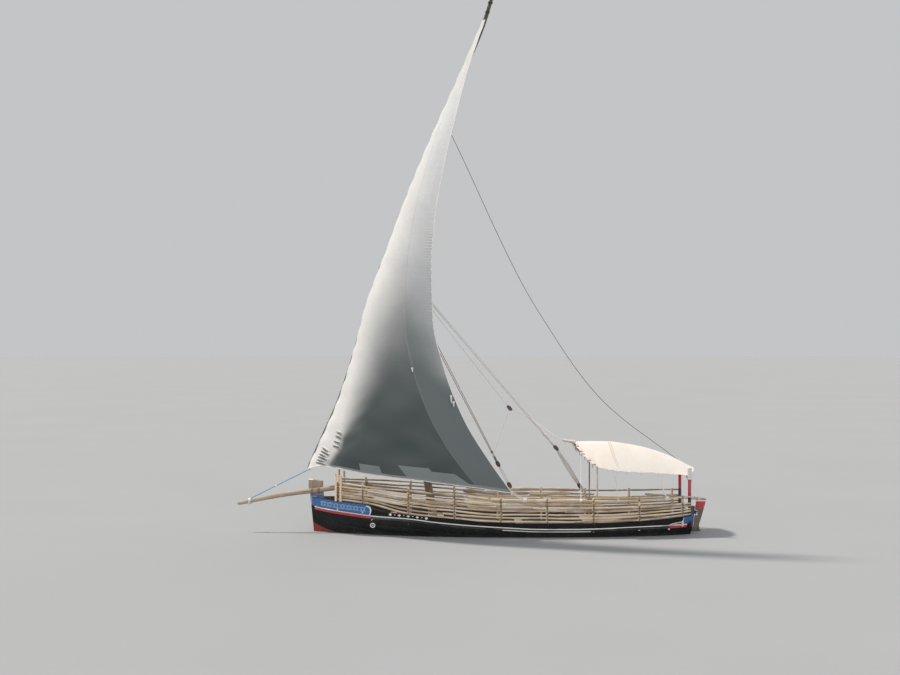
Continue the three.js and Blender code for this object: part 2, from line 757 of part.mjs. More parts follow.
function makeBow() {
  const points = BOWSPRIT.map(([x, z]) => new THREE.Vector3(x, BOWSPRIT_Y, z));
  addNode("bowsprit", spar(points, BOWSPRIT.map((row) => row[2]), 10), "weathered");
  for (const [name, post] of BOW_RAILS) {
    const flat = BOW_RAIL_RADIUS * FLAT_OF_8;
    const x = SCREEN_POSTS[post] + POST_SIZE / 2 + flat + GAP;
    const drop = along(BOWSPRIT, 0, 2, x) + flat + BOW_RAIL_GAP;
    const z = along(BOWSPRIT, 0, 1, x) - drop;
    const reach = breadthAt(x - BOW_RAIL_RADIUS) - POLE_INSET - POLE_RADIUS - 8;
    const ends = [new THREE.Vector3(x, -reach, z), new THREE.Vector3(x, reach, z)];
    addNode(name, evenSpar(ends, BOW_RAIL_RADIUS, 8), "pole");
  }
}

function makeStern() {
  const y = breadthAt(CORNER_POST.x) - POLE_INSET - POLE_RADIUS - CORNER_POST.radius;
  const foot = deckTop("aft_deck") + GAP;
  for (const [side, sign] of SIDES) {
    const ends = [foot, CORNER_POST.top].map((z) => new THREE.Vector3(CORNER_POST.x, sign * y, z));
    const post = solidOf(evenSpar(ends, CORNER_POST.radius, 10)).intersect(room);
    addNode("corner_post_" + side, post, "tarred");
  }
  const reach = y - CORNER_POST.radius * FLAT_OF_10 - GAP;
  const rail = [-reach, reach].map((at) => new THREE.Vector3(CORNER_POST.x, at, STERN_RAIL.z));
  addNode("stern_rail", evenSpar(rail, STERN_RAIL.radius, 8), "pole");
}

// Point of the awning's top at a share along it and a share across it, from -1 to 1
function awningPoint(share, v) {
  const place = share * (AWNING.length - 1);
  const first = Math.min(Math.floor(place), AWNING.length - 2);
  const mix = (column) => {
    const [a, b] = [AWNING[first][column], AWNING[first + 1][column]];
    return a + (b - a) * (place - first);
  };
  const [ridgeX, ridgeZ, eaveX, eaveZ, half] = [0, 1, 2, 3, 4].map(mix);
  const x = ridgeX + (eaveX - ridgeX) * Math.abs(v) ** AWNING_TURN;
  const z = eaveZ + (ridgeZ - eaveZ) * (1 - Math.abs(v) ** AWNING_ARCH);
  return new THREE.Vector3(x, v * half, z);
}

// Where the awning passes over a place in plan
function awningOver(x, y) {
  let [low, high] = [0, 1];
  let point = awningPoint(0, 0);
  for (let turn = 0; turn < 30; turn++) {
    const middle = (low + high) / 2;
    const half = Math.abs(awningPoint(middle, 1).y);
    point = awningPoint(middle, y / half);
    if (point.x < x) low = middle;
    else high = middle;
  }
  return point.z;
}

function awningGrid(lift) {
  return AWNING.map((row, i) => {
    const line = [];
    for (let k = 0; k <= AWNING_ACROSS; k++) {
      const point = awningPoint(i / (AWNING.length - 1), (2 * k) / AWNING_ACROSS - 1);
      point.z += lift;
      line.push(point);
    }
    return line;
  });
}

// An arch under the ridge pole, from side to side of the awning
function hoopArch(x, reach, under) {
  const points = [];
  const steps = 8;
  for (let k = 0; k <= steps; k++) {
    const y = reach * ((2 * k) / steps - 1);
    const sides = HOOP_RISE * (Math.abs(y) / reach) ** 2;
    points.push(new THREE.Vector3(x, y, awningOver(x, y) - under + sides));
  }
  return points;
}

function makeAwning() {
  const cloth = wall(awningGrid(0), awningGrid(-AWNING_THICKNESS));
  addNode("awning", cloth, "awning");
  const drop = AWNING_THICKNESS + RIDGE_RADIUS - RIDGE_SINK;
  const ridge = AWNING.map(([x, z]) => new THREE.Vector3(x, 0, z - drop));
  ridge[0].x += RIDGE_SHORT;
  ridge[ridge.length - 1].x -= RIDGE_SHORT;
  const above = solidOf(wall(awningGrid(100), awningGrid(-AWNING_THICKNESS - GAP)));
  const pole = solidOf(evenSpar(ridge, RIDGE_RADIUS, 8)).subtract(above);
  addNode("awning_ridge_pole", pole, "pole");
  const arch = hoopArch(HOOP_FORE.x, HOOP_FORE.y, HOOP_DROP.fore);
  const foot = deckTop("aft_deck") + GAP;
  const legs = [-1, 1].map((sign) => new THREE.Vector3(HOOP_FORE.x, sign * HOOP_FORE.y, foot));
  const fore = [legs[0], ...arch, legs[1]];
  addNode("awning_hoop_fore", spar(fore, fore.map(() => HOOP_RADIUS), 8, ALONG_X), "pole");
  const aftX = CORNER_POST.x - CORNER_POST.radius - HOOP_RADIUS * FLAT_OF_8 - GAP;
  const aft = hoopArch(aftX, HOOP_AFT_REACH, HOOP_DROP.aft);
  addNode("awning_hoop_aft", spar(aft, aft.map(() => HOOP_RADIUS), 8, ALONG_X), "pole");
}

function axisPoint(z) {
  return new THREE.Vector3(RUDDER_AXIS_X + STERN_RAKE * z, 0, z);
}

function makeRudder() {
  const leading = (z) => [axisPoint(z).x - 20, z];
  const back = RUDDER_OUTLINE.map(([x, z]) => [RUDDER_AXIS_X + x, z]);
  const outline = [leading(RUDDER_TOP), ...back, leading(RUDDER_FOOT)];
  let blade = solidOf(plate(outline, RUDDER_THICKNESS));
  for (const [name, z] of IRONS) {
    const notchEnd = axisPoint(z).x + NOTCH.depth;
    const ahead = RUDDER_AXIS_X - 300;
    const notch = block(ahead, notchEnd, -200, 200, z - NOTCH.below, z + NOTCH.above);
    blade = blade.subtract(notch);
    makeIrons(name, z);
  }
  const tillerEnds = TILLER.map(([x, z]) => new THREE.Vector3(x, 0, z));
  const lastPoint = outline.length - 1;
  const wider = outline.map(([x, z], i) => [i % lastPoint === 0 ? x - GAP : x, z + GAP]);
  const headSeat = solidOf(plate(wider, RUDDER_THICKNESS + 2 * GAP));
  const tiller = solidOf(spar(tillerEnds, TILLER.map((row) => row[2]), 8));
  addNode("tiller", tiller.subtract(headSeat), "pole");
  addNode("rudder_blade", blade, "weathered");
}

// An eye on an arm from the stern post, and the pin that hangs in it from a strap on the blade
function makeIrons(name, z) {
  const sides = 12;
  const half = IRON_HEIGHT / 2;
  const postFace = STERN_POST_X + STERN_RAKE * z;
  const postSeat = solidOf(plate(STERN_POST_OUTLINE.map(([x, y]) => [x + GAP, y]), KEEL_WIDTH));
  const arm = block(postFace - 20, axisPoint(z).x, -20, 20, z - 20, z + 20);
  const boreRadius = (PIN_RADIUS + PIN_GAP) / Math.cos(Math.PI / sides);
  const bore = evenSpar([axisPoint(z - 80), axisPoint(z + 80)], boreRadius, sides);
  const hole = solidOf(turnedHalfStep(bore, axisPoint(z), STERN_RAKE, sides));
  const eye = solidOf(evenSpar([axisPoint(z - half), axisPoint(z + half)], EYE_RADIUS, sides));
  addNode("gudgeon_" + name, eye.add(arm).subtract(hole).subtract(postSeat), "iron");
  const top = axisPoint(z + 70);
  const pin = solidOf(evenSpar([axisPoint(z - 60), top], PIN_RADIUS, sides));
  const shoulder = solidOf(evenSpar([axisPoint(z + half + PIN_GAP), top], EYE_RADIUS - 4, sides));
  const strap = block(axisPoint(z).x, axisPoint(z).x + NOTCH.depth - GAP, -22, 22, z + 40, z + 69);
  addNode("pintle_" + name, pin.add(shoulder).add(strap), "iron");
}

makeHull();
makeFrames();
makeDecks();
makeMast();
makeYard();
makeScreens();
makeStays();
makeOculi();
makeBow();
makeStern();
makeAwning();
makeRudder();

export default root;
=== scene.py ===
# %% [markdown]
# # A dhow under sail
# This is a wooden cargo boat of the East African coast: a black planked hull, screens of mangrove poles
# above the sheer, one tall lateen sail on a long yard, and a cloth awning over the stern.
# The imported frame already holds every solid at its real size. The script dresses it: it keeps what is right,
# and puts a finely made piece over each plain one, in the same place.

# %% Load the frame
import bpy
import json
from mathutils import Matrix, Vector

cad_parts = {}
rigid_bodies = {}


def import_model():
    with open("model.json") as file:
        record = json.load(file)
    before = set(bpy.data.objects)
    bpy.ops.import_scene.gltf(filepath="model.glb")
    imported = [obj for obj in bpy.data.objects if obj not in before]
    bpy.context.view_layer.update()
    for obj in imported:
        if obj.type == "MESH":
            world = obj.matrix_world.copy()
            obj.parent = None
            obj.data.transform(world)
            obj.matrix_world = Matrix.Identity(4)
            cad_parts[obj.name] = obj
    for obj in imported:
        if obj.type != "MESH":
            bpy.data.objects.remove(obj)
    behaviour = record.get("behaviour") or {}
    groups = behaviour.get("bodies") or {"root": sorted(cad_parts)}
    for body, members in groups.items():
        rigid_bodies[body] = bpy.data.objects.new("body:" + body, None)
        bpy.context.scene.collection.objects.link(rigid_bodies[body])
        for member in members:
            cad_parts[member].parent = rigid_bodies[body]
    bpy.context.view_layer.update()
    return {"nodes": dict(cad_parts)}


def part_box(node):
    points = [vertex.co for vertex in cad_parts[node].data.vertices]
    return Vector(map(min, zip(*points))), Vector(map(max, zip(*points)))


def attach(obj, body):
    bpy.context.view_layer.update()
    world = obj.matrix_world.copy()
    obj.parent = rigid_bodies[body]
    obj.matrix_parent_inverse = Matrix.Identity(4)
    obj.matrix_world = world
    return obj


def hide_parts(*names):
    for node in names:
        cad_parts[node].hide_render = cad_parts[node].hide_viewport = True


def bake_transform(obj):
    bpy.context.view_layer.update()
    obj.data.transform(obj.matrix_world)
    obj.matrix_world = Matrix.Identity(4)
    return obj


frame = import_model()

# %% Libraries
import json
import math
import random

import bpy
import numpy as np
from mathutils import Matrix, Vector, noise

random.seed(7)

# %% [markdown]
# ## Working by hand in code
# An operator acts on whatever is selected, so each step first takes hold of one object only. A sheet is a
# grid primitive whose points are moved into place, and a spar or a rope is such a grid bent round into a
# tube: its two long edges are merged and its ends are filled. Both get a UV map in metres, so that grain
# and rope lay run along the piece.

# %% Take hold of objects
def take(*objects):
    """Makes these objects the only selected ones, with the first of them active."""
    if bpy.context.mode != "OBJECT":
        bpy.ops.object.mode_set(mode="OBJECT")
    bpy.ops.object.select_all(action="DESELECT")
    for obj in objects:
        obj.select_set(True)
    bpy.context.view_layer.objects.active = objects[0]
    return objects[0]


def edit(obj):
    """Opens an object in edit mode with all of it selected."""
    take(obj)
    bpy.ops.object.mode_set(mode="EDIT")
    bpy.ops.mesh.select_all(action="SELECT")


def close(obj):
    """Leaves edit mode."""
    bpy.ops.object.mode_set(mode="OBJECT")
    return obj


def apply_modifiers(obj):
    """Applies every modifier, from the top of the stack down."""
    take(obj)
    for modifier in list(obj.modifiers):
        bpy.ops.object.modifier_apply(modifier=modifier.name)
    return obj


def joined(name, objects):
    """Joins objects into the first and names the result."""
    whole = take(*objects)
    if len(objects) > 1:
        bpy.ops.object.join()
    whole.name = name
    return whole


def smooth(obj, degrees=40):
    """Shades faces smooth where they meet at less than an angle."""
    take(obj)
    bpy.ops.object.shade_smooth_by_angle(angle=math.radians(degrees))
    return obj


take(bpy.data.objects[0])

# %% Attributes and UV maps
def lay_uv(obj, pairs):
    """Gives every vertex its place in the UV map, in metres along and across."""
    layer = obj.data.uv_layers.get("UVMap") or obj.data.uv_layers.new(name="UVMap")
    corners = np.empty(len(obj.data.loops), np.int32)
    obj.data.loops.foreach_get("vertex_index", corners)
    layer.data.foreach_set("uv", np.asarray(pairs, np.float32)[corners].reshape(-1))


def paint_value(obj, name, values):
    """Stores one number for each vertex, or the same one for all, which a material can read."""
    attribute = obj.data.attributes.get(name) or obj.data.attributes.new(name, "FLOAT", "POINT")
    count = len(obj.data.vertices)
    attribute.data.foreach_set("value", np.broadcast_to(np.asarray(values, np.float32), count).copy())
    return obj


def board_uv(obj, grain):
    """Lays a UV map in metres by each face's direction, with the grain along axis 0, 1 or 2."""
    mesh = obj.data
    layer = mesh.uv_layers.get("UVMap") or mesh.uv_layers.new(name="UVMap")
    others = [axis for axis in range(3) if axis != grain]
    for face in mesh.polygons:
        facing = max(range(3), key=lambda axis: abs(face.normal[axis]))
        across = next(axis for axis in others if axis != facing)
        along = grain if facing != grain else next(axis for axis in others if axis != across)
        for corner in face.loop_indices:
            place = mesh.vertices[mesh.loops[corner].vertex_index].co
            layer.data[corner].uv = (place[along], place[across])
    return obj


# %% Sheets and tubes
def sheet_of(name, places, pairs):
    """A grid primitive whose points are moved to places[row][column]."""
    places = np.asarray(places, float)
    rows, columns = places.shape[:2]
    bpy.ops.mesh.primitive_grid_add(x_subdivisions=columns - 1, y_subdivisions=rows - 1, size=1)
    obj = bpy.context.object
    obj.name = name
    obj.data.vertices.foreach_set("co", places.reshape(-1).astype(np.float32))
    obj.data.update()
    lay_uv(obj, np.asarray(pairs, float).reshape(-1, 2))
    return obj


def closed_tube(name, rings, pairs):
    """A grid bent round so that its first and last columns meet, with its ends filled."""
    obj = sheet_of(name, rings, pairs)
    edit(obj)
    bpy.ops.mesh.remove_doubles(threshold=0.00002)
    bpy.ops.mesh.select_all(action="DESELECT")
    bpy.ops.mesh.select_mode(type="EDGE")
    bpy.ops.mesh.select_non_manifold()
    bpy.ops.mesh.fill_holes(sides=0)
    bpy.ops.mesh.select_all(action="SELECT")
    bpy.ops.mesh.normals_make_consistent(inside=False)
    return close(obj)


def directions_along(path):
    """Unit vectors along a path at each of its points."""
    ways = np.gradient(path, axis=0)
    return ways / np.linalg.norm(ways, axis=1, keepdims=True)


def tube(name, path, radii, sides=8, flat=1.0, tone=0.5, turns=None):
    """A round spar or rope along a path, with one radius or one for each point."""
    path = np.asarray(path, float)
    radii = np.broadcast_to(np.asarray(radii, float), len(path))
    ways = directions_along(path)
    side = np.cross(ways[0], (0.0, 0.0, 1.0))
    if np.linalg.norm(side) < 0.1:
        side = np.cross(ways[0], (1.0, 0.0, 0.0))
    steps = np.linalg.norm(np.diff(path, axis=0), axis=1)
    run = np.concatenate([[0.0], np.cumsum(steps)])
    angles = np.linspace(0.0, 2 * math.pi, sides + 1)
    rings = np.empty((len(path), sides + 1, 3))
    pairs = np.empty((len(path), sides + 1, 2))
    for i, (point, way, radius) in enumerate(zip(path, ways, radii)):
        side = side - way * side.dot(way)
        side /= np.linalg.norm(side)
        up = np.cross(side, way)
        rings[i] = point + radius * (
            np.cos(angles)[:, None] * side + flat * np.sin(angles)[:, None] * up
        )
        rings[i, -1] = rings[i, 0]
        around = angles / (2 * math.pi) if turns else angles * radius
        pairs[i, :, 0] = run[i] / turns if turns else run[i] + 7.0 * tone
        pairs[i, :, 1] = around
    obj = closed_tube(name, rings, pairs)
    return paint_value(obj, "tone", tone)


print("hand tools ready")

# %% Curves through tables
def fairing(table):
    """Reads a table along its first column by a smooth curve that never swings past its rows."""
    rows = np.array(table, float)
    keys, values = rows[:, 0], rows[:, 1:]
    slopes = np.diff(values, axis=0) / np.diff(keys)[:, None]
    lean = np.empty_like(values)
    lean[0], lean[-1] = slopes[0], slopes[-1]
    product = slopes[:-1] * slopes[1:]
    total = slopes[:-1] + slopes[1:]
    safe = np.where(np.abs(total) < 1e-12, 1.0, total)
    lean[1:-1] = np.where(product > 0, 2 * product / safe, 0.0)

    def at(key):
        i = int(np.clip(np.searchsorted(keys, key) - 1, 0, len(keys) - 2))
        width = keys[i + 1] - keys[i]
        t = float(np.clip((key - keys[i]) / width, 0.0, 1.0))
        ends = (1 + 2 * t) * (1 - t) ** 2 * values[i] + t * t * (3 - 2 * t) * values[i + 1]
        leans = t * (1 - t) ** 2 * lean[i] - t * t * (1 - t) * lean[i + 1]
        return ends + width * leans

    return at


def soft_path(points, steps):
    """A smooth path of a number of steps through a few points."""
    points = np.asarray(points, float)
    lengths = np.linalg.norm(np.diff(points, axis=0), axis=1)
    keys = np.concatenate([[0.0], np.cumsum(lengths)])
    read = fairing(np.column_stack([keys, points]))
    return np.array([read(key) for key in np.linspace(0.0, keys[-1], steps + 1)])


def ripple(place, scale, amount, seed=0.0):
    """Smooth wandering of a few millimetres, the same on every run."""
    return amount * noise.noise(Vector(place) * scale + Vector((seed, -seed, seed * 0.5)))


def clamped(value):
    """The value held between 0 and 1."""
    return min(max(value, 0.0), 1.0)


print("curve tools ready")

# %% [markdown]
# ## Camera, light and floor
# The camera stands where the photographer stood, on a higher deck about fifty metres off the port side.
# The light is that of a studio lamp high over the starboard bow, with two weak ones that fill the shade. The
# sail's own shade is painted into its canvas, see sail_painted_shade.
# The pale floor lies at the waterline. It has a hole inside the hull, so that the open hold shows its bottom.

# %% Camera
CAMERA_PLACE = (-1.635, -50.0, 6.51)
LENS_MM = 64.2
SENSOR_MM = 36.0
CAMERA_TILT = math.radians(0.553)

bpy.ops.object.camera_add(location=CAMERA_PLACE, rotation=(math.pi / 2 - CAMERA_TILT, 0.0, 0.0))
camera = bpy.context.object
camera.data.lens = LENS_MM
camera.data.sensor_width = SENSOR_MM
camera.data.clip_end = 2000.0
bpy.context.scene.camera = camera

# %% Lamps
# [name, direction it comes from, strength, size in degrees, colour]
LAMPS = [
    ("key_lamp", (-0.50, 0.25, 0.83), 3.6, 5.0, (1.0, 0.95, 0.88)),
    ("front_lamp", (0.15, -0.9, 0.40), 0.9, 50.0, (0.96, 0.98, 1.0)),
    ("far_lamp", (0.4, 0.9, 0.5), 0.3, 40.0, (1.0, 1.0, 1.0)),
]
for lamp_name, source, strength, size, tint in LAMPS:
    bpy.ops.object.light_add(type="SUN", location=Vector(source) * 30)
    lamp = bpy.context.object
    lamp.name = lamp_name
    lamp.rotation_euler = Vector(source).to_track_quat("Z", "Y").to_euler()
    lamp.data.energy = strength
    lamp.data.angle = math.radians(size)
    lamp.data.color = tint

world = bpy.data.worlds.new("studio")
bpy.context.scene.world = world
world.use_nodes = True
world.node_tree.nodes["Background"].inputs["Color"].default_value = (0.94, 0.96, 0.98, 1.0)
world.node_tree.nodes["Background"].inputs["Strength"].default_value = 0.58
bpy.context.scene.view_settings.view_transform = "Standard"
print("camera and", len(LAMPS), "lamps")

# %% [markdown]
# ## Shader effects
# Each effect that several finishes share is a node group: wood fibre, weathering, worn paint, the lay of a
# rope and the weave of canvas. A group gives masks and heights, and the material mixes its own colours with
# them.

# %% Node tools
def node(tree, kind, **settings):
    """Adds a shader node. Names in capitals are sockets, for a value or a link, and others are settings."""
    made = tree.nodes.new("ShaderNode" + kind)
    for name, value in settings.items():
        if name[0].islower():
            setattr(made, name, value)
            continue
        feed(tree, made.inputs[name.replace("_", " ")], value)
    return made


def feed(tree, socket, value):
    """Links a socket, or sets its value."""
    if isinstance(value, bpy.types.NodeSocket):
        tree.links.new(value, socket)
    else:
        socket.default_value = value


def sums(tree, operation, first, second=0.0, clamp=False):
    """A Math node's result."""
    made = tree.nodes.new("ShaderNodeMath")
    made.operation = operation
    made.use_clamp = clamp
    feed(tree, made.inputs[0], first)
    feed(tree, made.inputs[1], second)
    return made.outputs[0]


def times(tree, first, second, clamp=False):
    """A product."""
    return sums(tree, "MULTIPLY", first, second, clamp)


def plus(tree, first, second, clamp=False):
    """A sum."""
    return sums(tree, "ADD", first, second, clamp)


def blend_colours(tree, share, first, second, how="MIX"):
    """Two colours mixed by a share."""
    made = tree.nodes.new("ShaderNodeMix")
    made.data_type = "RGBA"
    made.blend_type = how
    feed(tree, made.inputs[0], share)
    feed(tree, made.inputs[6], first)
    feed(tree, made.inputs[7], second)
    return made.outputs[2]


def step_between(tree, value, low, high, to_low=0.0, to_high=1.0):
    """A value stretched from one range to another and held at its ends."""
    made = node(tree, "MapRange", Value=value, From_Min=low, From_Max=high, To_Min=to_low, To_Max=to_high)
    return made.outputs["Result"]


def stretched(tree, vector, scale):
    """Coordinates scaled along each axis."""
    return node(tree, "Mapping", Vector=vector, Scale=scale).outputs["Vector"]


def clouds(tree, vector, scale, detail=4.0, roughness=0.55, distortion=0.0):
    """Noise between 0 and 1."""
    settings = {"Scale": scale, "Detail": detail, "Roughness": roughness, "Distortion": distortion}
    return node(tree, "TexNoise", Vector=vector, **settings).outputs["Fac"]


def new_group(name, inputs, outputs):
    """An empty node group with its sockets, and the two nodes that stand for them."""
    group = bpy.data.node_groups.new(name, "ShaderNodeTree")
    for socket_name, kind, value in inputs:
        socket = group.interface.new_socket(socket_name, in_out="INPUT", socket_type="NodeSocket" + kind)
        if value is not None:
            socket.default_value = value
    for socket_name, kind in outputs:
        group.interface.new_socket(socket_name, in_out="OUTPUT", socket_type="NodeSocket" + kind)
    start = group.nodes.new("NodeGroupInput")
    end = group.nodes.new("NodeGroupOutput")
    return group, start.outputs, end.inputs


# %% Wood fibre
def make_wood_fibre():
    """Long streaks, fine fibre and drying cracks, from coordinates with the grain along X."""
    group, given, result = new_group(
        "wood_fibre",
        [("Vector", "Vector", None), ("Tone", "Float", 0.5)],
        [("Shade", "Float"), ("Crack", "Float"), ("Height", "Float")],
    )
    streak = clouds(group, stretched(group, given["Vector"], (0.9, 15.0, 15.0)), 1.0, 7.0, 0.62, 0.35)
    fibre = clouds(group, stretched(group, given["Vector"], (5.0, 130.0, 130.0)), 1.0, 3.0)
    split = clouds(group, stretched(group, given["Vector"], (1.1, 42.0, 42.0)), 1.0, 2.0, 0.4, 0.6)
    crack = step_between(group, split, 0.645, 0.70)
    toned = plus(group, times(group, streak, 1.1), times(group, fibre, 0.35))
    shade = plus(group, toned, times(group, given["Tone"], 0.7))
    feed(group, result["Shade"], step_between(group, shade, 0.55, 1.65))
    feed(group, result["Crack"], crack)
    height = sums(group, "SUBTRACT", toned, times(group, crack, 1.4))
    feed(group, result["Height"], height)
    return group


# %% Weathering, worn paint, rope and canvas
def make_weathering():
    """Broad stains and small specks over the whole boat."""
    group, given, result = new_group(
        "weathering", [("Vector", "Vector", None)], [("Stain", "Float"), ("Speck", "Float")]
    )
    feed(group, result["Stain"], clouds(group, given["Vector"], 1.3, 5.0, 0.6, 0.4))
    specks = clouds(group, given["Vector"], 26.0, 4.0, 0.65)
    feed(group, result["Speck"], step_between(group, specks, 0.56, 0.72))
    return group


def make_worn_paint():
    """A mask that is 1 where paint has flaked off, more of it as the amount grows."""
    group, given, result = new_group(
        "worn_paint",
        [("Vector", "Vector", None), ("Amount", "Float", 0.3)],
        [("Bare", "Float"), ("Height", "Float")],
    )
    broad = clouds(group, given["Vector"], 3.1, 6.0, 0.7, 0.5)
    fine = clouds(group, stretched(group, given["Vector"], (9.0, 30.0, 30.0)), 1.0, 5.0, 0.7)
    both = plus(group, times(group, broad, 0.55), times(group, fine, 0.45))
    level = sums(group, "SUBTRACT", 0.80, times(group, given["Amount"], 0.42))
    bare = times(group, sums(group, "SUBTRACT", both, level), 28.0, clamp=True)
    feed(group, result["Bare"], bare)
    feed(group, result["Height"], sums(group, "SUBTRACT", times(group, fine, 0.3), bare))
    return group


def make_rope_lay():
    """Three strands laid round each other. U counts the rope's diameters and V its turns."""
    group, given, result = new_group(
        "rope_lay", [("Vector", "Vector", None)], [("Strand", "Float"), ("Fibre", "Float")]
    )
    parts = node(group, "SeparateXYZ", Vector=given["Vector"])
    twist = plus(group, times(group, parts.outputs["Y"], 3.0), parts.outputs["X"])
    strand = sums(group, "ABSOLUTE", sums(group, "SINE", times(group, twist, math.pi)))
    feed(group, result["Strand"], sums(group, "POWER", strand, 0.6))
    feed(group, result["Fibre"], clouds(group, stretched(group, given["Vector"], (6.0, 14.0, 1.0)), 1.0, 4.0))
    return group


def make_canvas_weave():
    """Warp and weft threads, slubs and soft blotches, from coordinates in metres."""
    group, given, result = new_group(
        "canvas_weave", [("Vector", "Vector", None)], [("Thread", "Float"), ("Blotch", "Float")]
    )
    parts = node(group, "SeparateXYZ", Vector=given["Vector"])
    warp = sums(group, "SINE", times(group, parts.outputs["X"], 1400.0))
    weft = sums(group, "SINE", times(group, parts.outputs["Y"], 1400.0))
    slub = clouds(group, stretched(group, given["Vector"], (3.0, 90.0, 1.0)), 1.0, 3.0)
    threads = plus(group, times(group, warp, weft), times(group, slub, 2.0))
    feed(group, result["Thread"], step_between(group, threads, -1.0, 3.0))
    feed(group, result["Blotch"], clouds(group, given["Vector"], 0.9, 6.0, 0.62, 0.3))
    return group


EFFECTS = {
    "wood_fibre": make_wood_fibre(),
    "weathering": make_weathering(),
    "worn_paint": make_worn_paint(),
    "rope_lay": make_rope_lay(),
    "canvas_weave": make_canvas_weave(),
}
print(len(EFFECTS), "shader groups")

# %% [markdown]
# ## Finishes
# The colours are those of the boat in the sun: tar-black planks, white wale lines, red and blue at the ends,
# tan mangrove poles, grey bare timber, grey-beige canvas in the sail with painted shade over it, and cream
# canvas in the awning.

# %% Material tools
def effect(tree, name, **sockets):
    """Places one of the shader groups and returns its outputs."""
    made = tree.nodes.new("ShaderNodeGroup")
    made.node_tree = EFFECTS[name]
    for socket, value in sockets.items():
        feed(tree, made.inputs[socket], value)
    return made.outputs


def start_material(name, roughness=0.7):
    """A new material, its tree, its main shader, and the coordinates that finishes read."""
    material = bpy.data.materials.new(name)
    material.use_nodes = True
    tree = material.node_tree
    shader = tree.nodes["Principled BSDF"]
    shader.inputs["Roughness"].default_value = roughness
    place = tree.nodes.new("ShaderNodeTexCoord").outputs["Object"]
    pairs = tree.nodes.new("ShaderNodeUVMap")
    pairs.uv_map = "UVMap"
    return material, tree, shader, place, pairs.outputs["UV"]


def reading(tree, name):
    """The value of one of the mesh's own attributes."""
    return node(tree, "Attribute", attribute_name=name).outputs["Fac"]


def raise_surface(tree, shader, height, strength, distance):
    """Feeds a height to the shader's normal."""
    bump = node(tree, "Bump", Height=height, Strength=strength, Distance=distance)
    tree.links.new(bump.outputs["Normal"], shader.inputs["Normal"])


# %% Wood and paint finishes
def wood_finish(name, dark, light, grey, roughness=0.78):
    """Bare timber: streaked from dark to light, greyed by the sun in patches, split along its grain."""
    material, tree, shader, place, pairs = start_material(name)
    fibre = effect(tree, "wood_fibre", Vector=pairs, Tone=reading(tree, "tone"))
    weather = effect(tree, "weathering", Vector=place)
    colour = blend_colours(tree, fibre["Shade"], dark, light)
    sunned = times(tree, step_between(tree, weather["Stain"], 0.42, 0.68), 0.75)
    colour = blend_colours(tree, sunned, colour, grey)
    colour = blend_colours(tree, times(tree, weather["Speck"], 0.35), colour, dark)
    colour = blend_colours(tree, times(tree, fibre["Crack"], 0.8), colour, (0.03, 0.025, 0.02, 1))
    tree.links.new(colour, shader.inputs["Base Color"])
    rough = step_between(tree, fibre["Shade"], 0.0, 1.0, roughness + 0.12, roughness - 0.12)
    tree.links.new(rough, shader.inputs["Roughness"])
    raise_surface(tree, shader, fibre["Height"], 0.55, 0.004)
    return material


def paint_finish(name, colour, under, wear, roughness=0.5):
    """Oil paint with brush streaks, chalked by the sun and flaked to the wood or coat below."""
    material, tree, shader, place, pairs = start_material(name)
    worn = effect(tree, "worn_paint", Vector=place, Amount=wear)
    fibre = effect(tree, "wood_fibre", Vector=pairs, Tone=0.5)
    weather = effect(tree, "weathering", Vector=place)
    chalky = tuple(min(1.0, part * 0.7 + 0.2) for part in colour[:3]) + (1.0,)
    faded = times(tree, step_between(tree, weather["Stain"], 0.35, 0.75), 0.5)
    mixed = blend_colours(tree, faded, colour, chalky)
    dirt = times(tree, weather["Speck"], 0.3)
    mixed = blend_colours(tree, dirt, mixed, (0.06, 0.05, 0.04, 1))
    mixed = blend_colours(tree, times(tree, fibre["Crack"], 0.6), mixed, under)
    mixed = blend_colours(tree, worn["Bare"], mixed, under)
    tree.links.new(mixed, shader.inputs["Base Color"])
    rough = step_between(tree, worn["Bare"], 0.0, 1.0, roughness, 0.85)
    tree.links.new(rough, shader.inputs["Roughness"])
    height = plus(tree, worn["Height"], times(tree, fibre["Height"], 0.5))
    raise_surface(tree, shader, height, 0.4, 0.003)
    return material


TAR = (0.010, 0.010, 0.011, 1)
BARE = (0.20, 0.165, 0.13, 1)
deck_wood = wood_finish("deck_wood", (0.12, 0.085, 0.058, 1), (0.36, 0.28, 0.20, 1), (0.38, 0.36, 0.33, 1))
spar_wood = wood_finish("spar_wood", (0.17, 0.12, 0.085, 1), (0.48, 0.38, 0.28, 1), (0.50, 0.46, 0.42, 1))
pole_wood = wood_finish("pole_wood", (0.22, 0.135, 0.075, 1), (0.90, 0.72, 0.50, 1), (0.74, 0.65, 0.54, 1))
dark_grey_wood = wood_finish(
    "dark_grey_wood", (0.07, 0.055, 0.045, 1), (0.26, 0.21, 0.17, 1), (0.24, 0.22, 0.20, 1),
)
yard_wood = wood_finish("yard_wood", (0.035, 0.027, 0.022, 1), (0.15, 0.11, 0.085, 1), (0.12, 0.10, 0.09, 1))
dark_wood = wood_finish("dark_wood", (0.03, 0.022, 0.017, 1), (0.11, 0.08, 0.06, 1), (0.14, 0.12, 0.10, 1))
white_paint = paint_finish("white_paint", (0.80, 0.79, 0.74, 1), (0.14, 0.12, 0.10, 1), 0.42)
red_paint = paint_finish("red_paint", (0.48, 0.022, 0.030, 1), (0.10, 0.06, 0.045, 1), 0.35)
blue_paint = paint_finish("blue_paint", (0.03, 0.10, 0.30, 1), (0.10, 0.09, 0.08, 1), 0.30)
sky_paint = paint_finish("sky_paint", (0.22, 0.38, 0.60, 1), (0.04, 0.12, 0.32, 1), 0.40)
black_paint = paint_finish("black_paint", TAR, BARE, 0.22, 0.42)
print("wood and paint ready")

